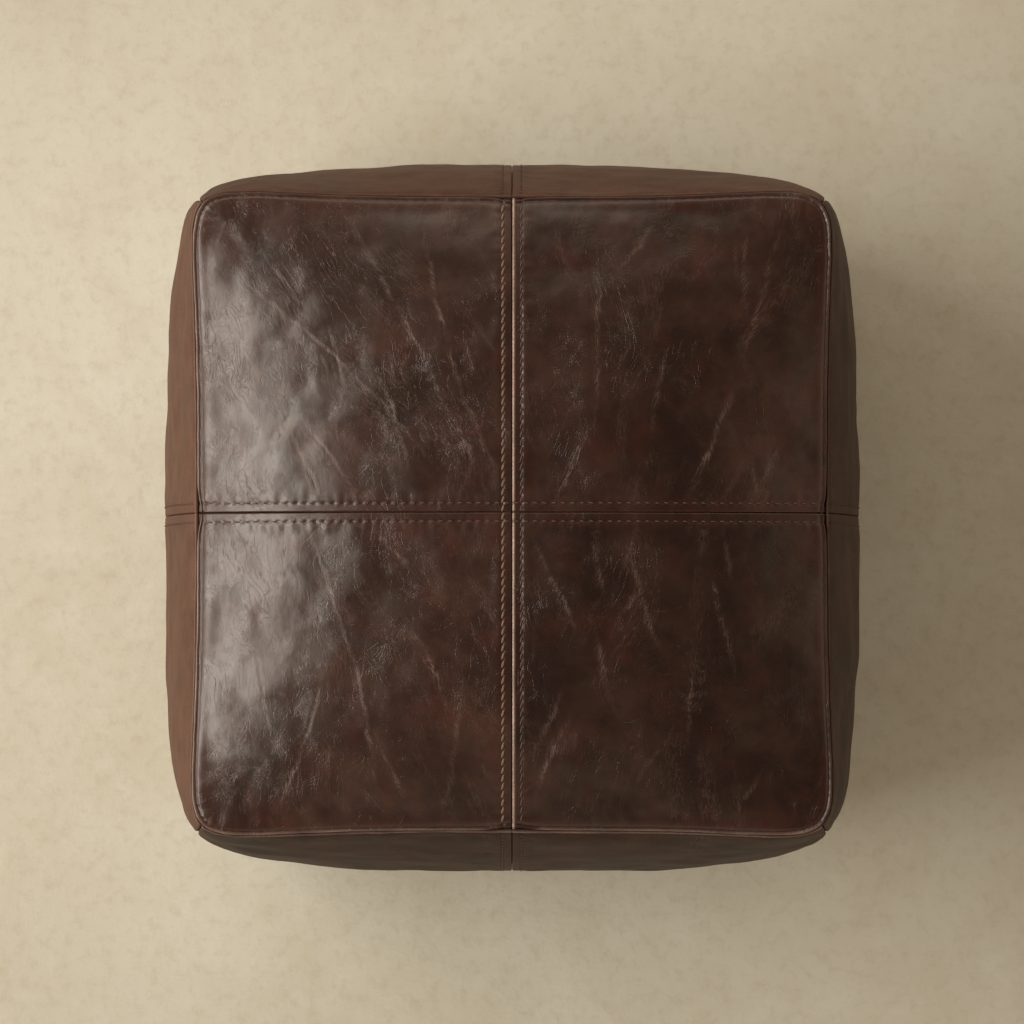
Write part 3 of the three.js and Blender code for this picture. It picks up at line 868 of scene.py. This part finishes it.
def leather_finish(name, dark, brown, red, worn, rough, specular, tint):
    """Waxed leather: brown and red-brown clouds, hairlines that follow the grain and show light along the
    creases, fans of fine wrinkles, and pores. Each panel's colour takes its painted light and shade, and a
    painted highlight along the edges that catch the light is the palest."""
    f = Finish(name)
    hide = f.node("ShaderNodeUVMap", {"uv_map": "hide"})
    grain = f.node("ShaderNodeUVMap", {"uv_map": "grain"})
    near_crease, near_seam, painted_light_and_shade, painted_highlight = (f.painted(key) for key in ("crease", "edge", "painted_light_and_shade", "painted_highlight"))
    clouds = f.noise(hide, 16, 4, 0.6)
    patches = f.noise(hide, 70, 5, 0.62)
    specks = f.noise(hide, 520, 4, 0.65)
    warp = f.node("ShaderNodeTexNoise", {}, {"Vector": hide, "Scale": 60, "Detail": 3}, 1)
    bent = f.shifted(hide, warp, 0.006)

    strands = f.noise(f.mapped(grain, 0, (1, 0.14, 1)), 640, 3, 0.6)
    hairs = 1 - f.step(abs(strands - 0.5), 0.0, 0.055)
    streaks = f.step(f.noise(f.mapped(grain, 0, (1, 0.3, 1)), 48, 3, 0.55), 0.5, 0.68)
    long_bends = f.noise(f.mapped(grain, 0, (1, 0.4, 1)), 130, 2, 0.5, 0.8)
    bends = 1 - f.step(abs(long_bends - 0.5), 0.0, 0.022)
    fan, reach = fans(f, bent, 34, 3.2, 40)
    small_fan, small_reach = fans(f, bent, 62, 2.6, 70)
    fine_net = f.noise(bent, 700, 2, 0.6)
    veined = f.step(f.noise(hide, 26, 3, 0.5), 0.38, 0.62)
    pores = f.node("ShaderNodeTexVoronoi", {"feature": "F1"}, {"Vector": hide, "Scale": 1100})

    bundle = near_crease * (0.07 + 0.93 * hairs)
    base = f.blend(f.step(clouds, 0.34, 0.68), dark, brown)
    base = f.blend(f.step(patches, 0.42, 0.68) * 0.55, base, dark)
    base = f.blend(f.step(f.noise(hide, 33, 4, 0.6), 0.5, 0.7) * 0.3, base, red)
    pale = f.blend(f.step(patches, 0.35, 0.65), *PAINTED_LIGHT_COLOURS)
    # Painted light and shade: each panel's colour is made lighter or darker by how the light falls on its
    # side.
    base = f.blend(painted_light_and_shade.math("MAXIMUM", painted_light_and_shade, 0.0), base, pale)
    base = f.blend(painted_light_and_shade.math("MAXIMUM", 0.0 - painted_light_and_shade, 0.0), base, PAINTED_SHADE_COLOUR)
    base = f.blend(f.step(specks, 0.42, 0.7) * 0.3, base, dark)
    base = f.blend(streaks * hairs * 0.1 + bundle * 0.33, base, worn)
    base = f.blend(near_seam * 0.22 * f.step(patches, 0.35, 0.6), base, red)
    # Painted highlight along the edges that catch the light, on the long seam and the rims.
    base = f.blend(painted_highlight * (0.7 + 0.3 * f.step(specks, 0.4, 0.6)), base, PAINTED_HIGHLIGHT_COLOUR)
    roughness = rough + 0.12 * (clouds - 0.5) + 0.14 * (specks - 0.5) + 0.06 * near_crease
    hollows = 1 - f.step(reach, 0.0, 0.013)
    fan = fan * f.step(reach, 0.0008, 0.005) * (1 - f.step(reach, 0.010, 0.02))
    small_fan = small_fan * f.step(small_reach, 0.0006, 0.004) * (1 - f.step(small_reach, 0.006, 0.012))
    height = (
        -0.036 * MM * hairs * (near_crease + 0.1 * streaks)
        - 0.046 * MM * bends * (0.15 + 0.85 * veined)
        - 0.036 * MM * fan * veined
        - 0.24 * MM * hollows * veined
        - 0.016 * MM * small_fan
        + 0.012 * MM * fine_net
        + 0.006 * MM * pores
        + 0.04 * MM * patches
    )
    fixed = {"Specular IOR Level": specular, "Specular Tint": tint}
    return f.finish(base, roughness, height, **fixed)


def cloth_finish(name, light, shade, threads_per_metre, roughness=0.92):
    """Plain weave: the product of two crossed waves, whose highs are every second thread, with slubs."""
    f = Finish(name)
    at = f.own_place()
    values = {"Vector": at, "Scale": threads_per_metre * math.pi / 20, "Distortion": 0.4}
    warp, weft = (f.node("ShaderNodeTexWave", {"bands_direction": way}, values) for way in ("X", "Y"))
    slub = f.noise(at, 160, 3, 0.6)
    weave = warp * weft
    colour = f.blend(weave * 0.6 + slub * 0.4, shade, light)
    return f.finish(colour, roughness, 0.2 * MM * weave + 0.1 * MM * slub)


def thread_finish(name, light, dark):
    """Waxed thread: a twist of slanting light and dark bands."""
    f = Finish(name)
    at = f.own_place()
    values = {"Vector": at, "Scale": 420, "Distortion": 1.0}
    twist = f.node("ShaderNodeTexWave", {"bands_direction": "DIAGONAL"}, values)
    fuzz = f.noise(at, 900, 2)
    return f.finish(f.blend(twist * 0.6 + fuzz * 0.4, dark, light), 0.62, 0.08 * MM * twist)


def metal_finish(name, bright, tarnish):
    """Old brass: tarnish in clouds, and fine scratches one way."""
    f = Finish(name)
    at = f.own_place()
    clouds = f.noise(at, 380, 4, 0.6)
    scratches = f.noise(f.mapped(at, 0.3, (1, 30, 1)), 900, 2)
    age = f.step(clouds, 0.4, 0.68)
    roughness = 0.28 + 0.3 * age + 0.08 * scratches
    return f.finish(f.blend(age, bright, tarnish), roughness, 0.01 * MM * scratches, Metallic=1.0)


def nylon_finish(name, colour, edge_colour):
    """Drawn nylon, a little cloudy."""
    f = Finish(name)
    clouds = f.noise(f.own_place(), 700, 3)
    return f.finish(f.blend(clouds, colour, edge_colour), 0.38 + 0.12 * clouds, 0.01 * MM * clouds)


def fibre_finish(name, light, shade):
    """Packed cotton waste: tufts drawn out by a strong warp."""
    f = Finish(name)
    at = f.own_place()
    tufts = f.noise(at, 60, 6, 0.7, 2.5)
    hairs = f.noise(at, 700, 3, 0.6, 4.0)
    colour = f.blend(tufts * 0.7 + hairs * 0.3, shade, light)
    return f.finish(colour, 0.97, 1.2 * MM * tufts + 0.2 * MM * hairs)


leather = leather_finish(
    "waxed_leather",
    dark=srgb(34, 19, 14),
    brown=srgb(57, 36, 27),
    red=srgb(74, 33, 24),
    worn=srgb(150, 122, 108),
    rough=0.31,
    specular=0.55,
    tint=(1.0, 0.92, 0.85, 1),
)
side_leather = leather_finish(
    "side_leather",
    dark=srgb(34, 19, 14),
    brown=srgb(58, 36, 27),
    red=srgb(72, 34, 25),
    worn=srgb(140, 108, 90),
    rough=0.64,
    specular=0.35,
    tint=(1.0, 0.84, 0.7, 1),
)
base_leather = leather_finish(
    "base_leather",
    dark=srgb(34, 22, 18),
    brown=srgb(50, 34, 28),
    red=srgb(60, 34, 27),
    worn=srgb(100, 80, 70),
    rough=0.6,
    specular=0.3,
    tint=(1.0, 0.92, 0.85, 1),
)
waxed_thread = thread_finish("waxed_thread", srgb(98, 72, 57), srgb(48, 32, 25))
# The long seam's left row has a thread painted lighter than the other rows: a painted highlight.
painted_highlight_thread = thread_finish("painted_highlight_thread", srgb(130, 102, 85), srgb(78, 55, 44))
tape_cotton = cloth_finish("tape_cotton", srgb(158, 142, 118), srgb(112, 98, 80), 1400)
liner_cotton = cloth_finish("liner_cotton", srgb(226, 218, 200), srgb(186, 176, 156), 1100)
cotton_waste = fibre_finish("cotton_waste", srgb(238, 233, 222), srgb(190, 182, 168))
zip_fabric = cloth_finish("zip_fabric", srgb(58, 46, 40), srgb(34, 27, 24), 2200, 0.85)
coil_nylon = nylon_finish("coil_nylon", srgb(40, 31, 28), srgb(58, 46, 42))
old_brass = metal_finish("old_brass", srgb(196, 164, 108), srgb(104, 84, 54))

# ---- Leather panels ----------------------------------------------------------------------------------------

EDGE = EDGE_GAP / ACROSS
FINEST = 0.34  # the finest cell of the panels that show

# Each hide's grain, in degrees, and how many short creases are strewn over it.
TOP_GRAIN = {"left": -66, "right": -100}
SIDE_GRAIN = 80
BASE_GRAIN = 10
TOP_CREASES = 36
SIDE_CREASES = 40
BASE_CREASES = 12

# Painted light and shade of each panel, from how the light falls on it: how much lighter, or below 0 darker,
# its colour is made.
TOP_PAINTED_LIGHT = {"front_left": 0.04, "front_right": -0.18, "back_left": 0.03, "back_right": -0.02}
SIDE_PAINTED_LIGHT = {"right": -0.05, "back": 0.25, "left": 0.4, "front": -0.2}
# How strong the painted highlight is on the long seam's standing edge and on each side's top edge.
SEAM_HIGHLIGHT = {"front": 0.8, "back": 0.65}
RIM_HIGHLIGHT = {"right": 0.05, "back": 0.05, "left": 0.2, "front": 0.3}


def half_lines(coarsest):
    """Grid lines across the half of a face on the side where the shares are below 0."""
    return lines(-1 + EDGE, -EDGE, ACROSS * (1 - 2 * EDGE), FINEST, coarsest)


near_half = half_lines(1.0)
far_half = -near_half[::-1]
seed = 1
for row_name, qs in (("front", near_half), ("back", far_half)):
    for side_name, ps in (("left", near_half), ("right", far_half)):
        grain = TOP_GRAIN[side_name]
        creases = np.concatenate([LONG_CREASES, random_creases(seed, TOP_CREASES, grain)])
        p, q = np.meshgrid(ps, qs, indexing="ij")
        name = f"{row_name}_{side_name}"
        painted_light_and_shade, painted_highlight = TOP_PAINTED_LIGHT[name], SEAM_HIGHLIGHT[row_name]
        piece = panel(f"top_leather_{name}", "top", p, q, seed, grain, creases, painted_light_and_shade, painted_highlight)
        give(piece, leather, [f"top_panel_{name}"])
        seed += 1

up_edge = EDGE_GAP / UP
up_lines = lines(up_edge, 1 - up_edge, UP, FINEST, 1.35)
side_near = half_lines(1.35)
side_far = -side_near[::-1]
for turns, (name, halves) in enumerate(SIDES):
    for half, ps in zip(halves, (side_near, side_far)):
        creases = random_creases(seed, SIDE_CREASES, SIDE_GRAIN)
        creases[:, 1] += ACROSS  # a side's lengths begin at its base rim
        p, q = np.meshgrid(ps, up_lines, indexing="ij")
        painted_light_and_shade, painted_highlight = SIDE_PAINTED_LIGHT[name], RIM_HIGHLIGHT[name]
        piece = panel(f"side_leather_{name}_{half}", turns, p, q, seed, SIDE_GRAIN, creases, painted_light_and_shade, painted_highlight)
        give(piece, side_leather, [f"side_panel_{name}_{half}"])
        seed += 1

base_ps = lines(-1 + EDGE, 1 - EDGE, 2 * ACROSS, 0.5, 2.0)
base_shares = lines(0, 1, ACROSS, 0.45, 2.0)
for row_name, side in (("front", -1), ("back", 1)):
    shares_out = base_shares if side > 0 else base_shares[::-1]
    p, share = np.meshgrid(base_ps, shares_out, indexing="ij")
    beyond = smooth(abs(p) * ACROSS, SLOT_HALF_LENGTH - 4, SLOT_HALF_LENGTH + 3)
    seam_line = mix(SLOT_HALF_WIDTH, EDGE_GAP, beyond) / BASE_RIM[0]
    q = side * mix(seam_line, 1 - EDGE, share)
    creases = random_creases(seed, BASE_CREASES, BASE_GRAIN)
    piece = panel(f"base_leather_{row_name}", "base", p, q, seed, BASE_GRAIN, creases)
    give(piece, base_leather, [f"base_panel_{row_name}"])
    seed += 1

# ---- Stitches ----------------------------------------------------------------------------------------------

RING_SIDES = 6
STITCH_LIFT = 0.2  # of a stitch's ends over the leather
STITCH_BOW = 0.28  # how much higher its middle is
PLAIN_ROW = (STITCH_PITCH, STITCH_LENGTH, 0.2, 1.0)  # pitch, length, slant and thickness of thread


def stitches(name, face, path, low, high, node, row=PLAIN_ROW, thread=waxed_thread):
    """A row of separate stitches between two lengths along it, where path gives p and q. Each is a
    six-sided tube whose radius is r sqrt(1 - (0.97 t)^2) and which bows out of its two holes by 1 - t^4."""
    pitch, length, slant, thick = row
    middles = (np.arange(math.ceil(low / pitch), math.floor(high / pitch)) + 0.5) * pitch
    t = np.array([-1, -0.86, -0.5, 0, 0.5, 0.86, 1.0])
    along = middles[:, None] + t * length / 2
    p, q = path(along)
    middle = place(face, p, q, leather_height(face, p, q) + STITCH_LIFT + STITCH_BOW * (1 - t**4))
    up = outward(face, p, q)
    ahead = unit(np.gradient(middle, axis=1))
    sideways = unit(np.cross(ahead, up))
    up = np.cross(sideways, ahead)
    middle = middle + sideways * (slant * t)[None, :, None]
    radius = thick * THREAD_RADIUS * np.sqrt(1 - (0.97 * t) ** 2)
    angle = np.arange(RING_SIDES) * 2 * np.pi / RING_SIDES
    ring = np.cos(angle)[:, None] * sideways[..., None, :]
    ring = ring + 0.8 * np.sin(angle)[:, None] * up[..., None, :]
    points = middle[..., None, :] + radius[None, :, None, None] * ring
    count, rings_each = len(middles), len(t)
    numbers = np.arange(count * rings_each * RING_SIDES).reshape(count, rings_each, RING_SIDES)
    turned = np.roll(numbers, -1, axis=2)
    walls = np.stack([numbers[:, :-1], numbers[:, 1:], turned[:, 1:], turned[:, :-1]], -1)
    rings = [walls.reshape(-1, 4), numbers[:, 0], numbers[:, -1, ::-1]]
    piece = new_piece(name, points.reshape(-1, 3), rings)
    return give(piece, thread, [node])


def row_along(share, length):
    """A row at one share across its face, whose other share grows with the length along it."""
    return lambda along: (np.full_like(along, share), along / length)


def row_across(share):
    """The same for a row that runs across its face."""
    return lambda along: (along / ACROSS, np.full_like(along, share))


ROW_END = 207.0  # how far the top's rows run from its middle
SIDE_ROW_SHORT = 4  # what a side's rows leave free at both rims
ZIP_ROW_END = 150  # how far the zip's rows run from its middle
ROPE_SLANT = 0.6
row_share = STITCH_OFFSET / ACROSS

# The left row takes the lighter thread: a painted highlight on it.
for name, sign, thick, thread in (("left", -1, 2.0, painted_highlight_thread), ("right", 1, 1.25, waxed_thread)):
    path, row = row_along(sign * row_share, ACROSS), (ROPE_PITCH, ROPE_LENGTH, ROPE_SLANT, thick)
    node = f"topstitch_long_seam_{name}"
    stitches(f"stitches_long_seam_{name}", "top", path, -ROW_END, ROW_END, node, row, thread)

for arm, (low, high) in (("left", (-ROW_END, 0)), ("right", (0, ROW_END))):
    for name, sign in (("front", -1), ("back", 1)):
        path, node = row_across(sign * row_share), f"topstitch_cross_seam_{arm}_{name}"
        stitches(f"stitches_cross_seam_{arm}_{name}", "top", path, low, high, node)

for turns, (name, halves) in enumerate(SIDES):
    for half, sign in zip(halves, (-1, 1)):
        path, node = row_along(sign * row_share, UP), f"topstitch_side_{name}_{half}"
        low, high = SIDE_ROW_SHORT, UP - SIDE_ROW_SHORT
        stitches(f"stitches_side_{name}_{half}", turns, path, low, high, node)

for name, sign in (("front", -1), ("back", 1)):
    path, node = row_across(sign * ZIP_ROW / ACROSS), f"topstitch_zip_{name}"
    stitches(f"stitches_zip_{name}", "base", path, -ZIP_ROW_END, ZIP_ROW_END, node)

# ---- Hidden pieces -----------------------------------------------------------------------------------------

TAPE_DEPTH = 5.0
TAPE_THICKNESS = 0.5
TAPE_HALF_WIDTH = 8.0
TAPE_SHORT = 3.0  # what the top's tapes leave free at the rim
SIDE_TAPE_SHORT = 4.0  # and the sides' at both rims
ARM_GAP = 0.4  # between the long tape and the two that meet it


def backing_tape(name, face, ps, qs, node):
    """A woven tape under an opened seam, at one depth below the settled cover."""
    p, q = np.meshgrid(ps, qs, indexing="ij")
    outer = place(face, p, q, np.full_like(p, -TAPE_DEPTH))
    inner = place(face, p, q, np.full_like(p, -TAPE_DEPTH - TAPE_THICKNESS))
    points, rings, _ = slab(outer, inner, 1)
    return give(new_piece(name, points, rings), tape_cotton, [node])


tape_share = TAPE_HALF_WIDTH / ACROSS
tape_across = np.linspace(-tape_share, tape_share, 9)
tape_along = np.linspace(-1 + TAPE_SHORT / ACROSS, 1 - TAPE_SHORT / ACROSS, 161)
arm_along = np.linspace(tape_share + ARM_GAP / ACROSS, 1 - TAPE_SHORT / ACROSS, 81)
side_along = np.linspace(SIDE_TAPE_SHORT / UP, 1 - SIDE_TAPE_SHORT / UP, 121)
backing_tape("backing_tape_top_long", "top", tape_across, tape_along, "seam_tape_top_long")
backing_tape("backing_tape_top_left", "top", -arm_along[::-1], tape_across, "seam_tape_top_left")
backing_tape("backing_tape_top_right", "top", arm_along, tape_across, "seam_tape_top_right")
for turns, (name, _) in enumerate(SIDES):
    backing_tape(f"backing_tape_side_{name}", turns, tape_across, side_along, f"seam_tape_side_{name}")

LINER_DEPTH = 2.3
LINER_DENT = 4.0  # how much deeper the liner lies behind a seam
LINER_ROOM = 0.5  # what it keeps clear of the leather
ZIP_ROOM = 5.8  # how much higher it lies over the zip
LINER = 0.8
FILLING_GAP = 0.3

# The liner's slit, in its base: how far forward of the middle, half its length and half its width.
SLIT_FORWARD = 110.0
SLIT_HALF_LENGTH = 100.0
SLIT_HALF_WIDTH = 2.6


def inner_shell(below):
    """The closed cover's points below its leather: under every hollow, pushed in behind the seams, raised
    over the zip, and then lower by a further distance."""
    points = np.zeros_like(cover_points)
    for face, number in cover_numbers.items():
        p, q = cloth_grid(face)
        near = seam_nearness(face, p, q)
        thick = LEATHER + TURNED_IN * near
        hollow = np.minimum(0, leather_height(face, p, q))
        height = np.minimum(-LINER_DEPTH - LINER_DENT * near, hollow - thick - LINER_ROOM) - below
        point = form(face, p, q) + DRIFT[face] + OUTWARD[face] * height[..., None]
        point[..., 2] = np.maximum(point[..., 2], FLOOR_GAP + thick + LINER_ROOM + below)
        if face == "base":
            beside_zip = 1 - smooth(abs(q) * ACROSS, 14, 34)
            point[..., 2] += ZIP_ROOM * beside_zip * (1 - smooth(abs(p), 0.8, 0.95))
        points[number.reshape(-1)] = point.reshape(-1, 3)
    return points


shell = inner_shell(0)
middle_x, middle_y, middle_z = shell[cover_quads].mean(axis=1).T
in_slit = (abs(middle_x) < SLIT_HALF_LENGTH) & (abs(middle_y + SLIT_FORWARD) < SLIT_HALF_WIDTH)
in_base = middle_z < BASE_RIM_HEIGHT
liner = new_piece("liner", shell, [cover_quads[~(in_slit & in_base)]])
thickness = liner.modifiers.new("thickness", "SOLIDIFY")
thickness.thickness = LINER / 1000
thickness.offset = -1
give(liner, liner_cotton, ["liner_bag"])
stuffing = new_piece("stuffing", inner_shell(LINER + FILLING_GAP), [cover_quads])
give(stuffing, cotton_waste, ["filling"])

# ---- The zip -----------------------------------------------------------------------------------------------

ZIP_HEIGHT = 6.0
ZIP_HALF_LENGTH = 150.0
COIL_PITCH = 1.75
COIL_INNER = 0.55
COIL_OUTER = 3.5
COIL_HALF_HEIGHT = 1.3
COIL_WIRE = 0.34
COIL_POINTS = 10  # of its path in each turn
COIL_SHORT = 4.2  # what the coils leave free at each end
RIBBON_HALF_LENGTH = 162
RIBBON_EDGES = (3.8, 15)  # from the zip's middle
RIBBON_HALF_THICKNESS = 0.27


def tube(path, radius, sides):
    """A tube of a given radius round a path of points, with closed ends."""
    ahead = unit(np.gradient(path, axis=0))
    side = unit(np.cross(ahead, [0.31, 0.17, 0.93]))
    up = np.cross(ahead, side)
    angle = np.arange(sides) * 2 * np.pi / sides
    ring = np.cos(angle)[:, None] * side[:, None] + np.sin(angle)[:, None] * up[:, None]
    points = (path[:, None] + radius * ring).reshape(-1, 3)
    numbers = np.arange(len(path) * sides).reshape(len(path), sides)
    turned = np.roll(numbers, -1, axis=1)
    walls = np.stack([numbers[:-1], turned[:-1], turned[1:], numbers[1:]], -1)
    return points, [walls.reshape(-1, 4), numbers[:1, ::-1], numbers[-1:]]


def coil_path(sign):
    """One side's coil: a helix along X whose way across, tanh(1.6 cos), is squared off. The back coil runs
    half a turn ahead, so that the two mesh."""
    half_length = ZIP_HALF_LENGTH - COIL_SHORT
    turns = int(2 * half_length / COIL_PITCH)
    phase = np.arange(turns)[:, None] + np.linspace(0, 1, COIL_POINTS + 1)[None, :-1]
    phase = phase.reshape(-1)
    reach = (COIL_OUTER - COIL_INNER) / 2 - COIL_WIRE
    squared = np.tanh(1.6 * np.cos(2 * np.pi * phase)) / 0.92
    x = -half_length + COIL_PITCH * (phase + 0.25 * (1 + sign))
    y = sign * ((COIL_OUTER + COIL_INNER) / 2 + reach * squared)
    z = ZIP_HEIGHT + (COIL_HALF_HEIGHT - COIL_WIRE) * np.sin(2 * np.pi * phase)
    return np.stack([x, y, z], -1)


for name, sign in (("front", -1), ("back", 1)):
    coil = new_piece(f"coil_{name}", *tube(coil_path(sign), COIL_WIRE, 5))
    give(coil, coil_nylon, [f"zip_coil_{name}"])
    near, far = RIBBON_EDGES if sign > 0 else (-RIBBON_EDGES[1], -RIBBON_EDGES[0])
    across = np.linspace(near, far, 17)
    along = np.linspace(-RIBBON_HALF_LENGTH, RIBBON_HALF_LENGTH, 325)
    x, y = np.meshgrid(along, across, indexing="ij")
    rib = 0.12 * hump(abs(y) - 4.5, 0.5) + 0.04 * np.cos(2 * np.pi * x / 2.0)
    upper = np.stack([x, y, ZIP_HEIGHT + RIBBON_HALF_THICKNESS + rib], -1)
    lower = np.stack([x, y, ZIP_HEIGHT - RIBBON_HALF_THICKNESS - rib], -1)
    points, rings, _ = slab(upper, lower, 1)
    give(new_piece(f"zip_ribbon_{name}", points, rings), zip_fabric, [f"zip_tape_{name}"])


def softened(node, name, width, body="cover"):
    """A copy of a metal part of the frame with its edges rounded by width."""
    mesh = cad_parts[node].data.copy()
    piece = bpy.data.objects.new(name, mesh)
    scene.collection.objects.link(piece)
    mesh.materials.clear()
    shape = bmesh.new()
    shape.from_mesh(mesh)
    bmesh.ops.remove_doubles(shape, verts=shape.verts, dist=1e-6)
    bmesh.ops.dissolve_limit(shape, angle_limit=0.02, verts=shape.verts, edges=shape.edges)
    shape.to_mesh(mesh)
    shape.free()
    rounding = piece.modifiers.new("rounding", "BEVEL")
    rounding.width = width / 1000
    rounding.segments = 3
    rounding.limit_method = "ANGLE"
    mesh.polygons.foreach_set("use_smooth", np.ones(len(mesh.polygons), bool))
    return give(piece, old_brass, [node], body)


softened("zip_top_stop_front", "stop_front_metal", 0.35)
softened("zip_top_stop_back", "stop_back_metal", 0.35)
softened("zip_bottom_stop", "end_stop_metal", 0.35)
softened("zip_slider", "slider_metal", 0.22, "zip_slider")
softened("zip_puller", "puller_metal", 0.25, "zip_puller")

# ---- Camera, floor and light -------------------------------------------------------------------------------

# In metres.
CAMERA_HEIGHT = 2.701
CAMERA_FORWARD = 0.054
CAMERA_FOV = math.radians(16.35)
AIM_HEIGHT = 0.349
FLOOR_HALF = 4
WINDOW_DISTANCE = 2.6
WINDOW_AIM = Vector((0, 0, 0.2))

camera_data = bpy.data.cameras.new("camera")
camera = bpy.data.objects.new("camera", camera_data)
scene.collection.objects.link(camera)
camera_data.angle = CAMERA_FOV
camera_data.clip_end = 50
camera.location = (0, -CAMERA_FORWARD, CAMERA_HEIGHT)
aim = Vector((0, 0, AIM_HEIGHT))
camera.rotation_euler = (aim - camera.location).to_track_quat("-Z", "Y").to_euler()
scene.camera = camera


def plaster_finish():
    """Pale beige plaster: warm and grey clouds, trowel marks and fine pits, and painted shade that makes it
    greyer away from the middle.
    """
    f = Finish("plaster")
    at = f.own_place()
    clouds = f.noise(at, 2.6, 5, 0.6)
    patches = f.noise(at, 14, 6, 0.65, 0.6)
    pits = f.noise(at, 90, 5, 0.7)
    colour = f.blend(f.step(clouds, 0.35, 0.65), srgb(203, 195, 174), srgb(212, 206, 188))
    colour = f.blend(f.step(patches, 0.45, 0.7) * 0.3, colour, srgb(194, 181, 155))
    colour = f.blend(f.step(pits, 0.46, 0.7) * 0.24, colour, srgb(168, 151, 124))
    colour = f.blend(f.step(f.noise(at, 34, 5, 0.7), 0.5, 0.68) * 0.3, colour, srgb(218, 212, 196))
    # Painted shade: greyer and darker away from the middle, as the light falls off.
    far = f.step(f.vector("LENGTH", {0: at}, 1), 0.22, 0.62)
    colour = f.blend(far * 0.36, colour, srgb(150, 140, 122))
    return f.finish(colour, 0.85, 0.8 * MM * patches + 0.4 * MM * pits)


floor_mesh = bpy.data.meshes.new("floor")
floor_corners = [(x * FLOOR_HALF, y * FLOOR_HALF, 0) for x, y in ((-1, -1), (1, -1), (1, 1), (-1, 1))]
floor_mesh.from_pydata(floor_corners, [], [(0, 1, 2, 3)])
floor_mesh.materials.append(plaster_finish())
floor = bpy.data.objects.new("floor", floor_mesh)
scene.collection.objects.link(floor)


def window(name, azimuth, elevation, size, power, colour):
    """A soft rectangle of light that faces the pouf. Azimuth 0 is the right and 90 the back, in degrees."""
    light = bpy.data.lights.new(name, "AREA")
    light.shape = "RECTANGLE"
    light.size, light.size_y = size
    light.energy = power
    light.color = colour
    holder = bpy.data.objects.new(name, light)
    scene.collection.objects.link(holder)
    round_it, up = math.radians(azimuth), math.radians(elevation)
    level = math.cos(up)
    way = Vector((math.cos(round_it) * level, math.sin(round_it) * level, math.sin(up)))
    holder.location = WINDOW_AIM + way * WINDOW_DISTANCE
    holder.rotation_euler = (-way).to_track_quat("-Z", "Y").to_euler()


window("window", 175, 52.5, size=(2.3, 0.42), power=54, colour=(1.0, 0.985, 0.945))
window("low_window", 188, 13, size=(1.5, 0.5), power=20, colour=(1.0, 0.93, 0.84))
window("far_wall", 105, 32, size=(2.4, 0.9), power=9, colour=(1.0, 0.97, 0.9))


def room_light():
    """A room whose walls are bright and warm, the back wall most, and whose ceiling is dark: the strength
    is a share that falls with the direction's height, times one that grows from front to back."""
    room = bpy.data.worlds.new("room_light")
    room.use_nodes = True
    nodes, links = room.node_tree.nodes, room.node_tree.links
    direction, parts = nodes.new("ShaderNodeTexCoord"), nodes.new("ShaderNodeSeparateXYZ")
    links.new(direction.outputs["Generated"], parts.inputs[0])
    strength = nodes.new("ShaderNodeMath")
    strength.operation = "MULTIPLY"
    falls = (("Z", "SMOOTHSTEP", (0.45, 0.95, 0.8, 0.04)), ("Y", "LINEAR", (-1, 1, 0.85, 1.15)))
    for number, (way, curve, limits) in enumerate(falls):
        share = nodes.new("ShaderNodeMapRange")
        share.interpolation_type = curve
        for key, value in zip(("From Min", "From Max", "To Min", "To Max"), limits):
            share.inputs[key].default_value = value
        links.new(parts.outputs[way], share.inputs["Value"])
        links.new(share.outputs[0], strength.inputs[number])
    background = nodes["Background"]
    background.inputs["Color"].default_value = (1.0, 0.83, 0.65, 1)
    links.new(strength.outputs[0], background.inputs["Strength"])
    return room


scene.world = room_light()
scene.view_settings.view_transform = "Standard"
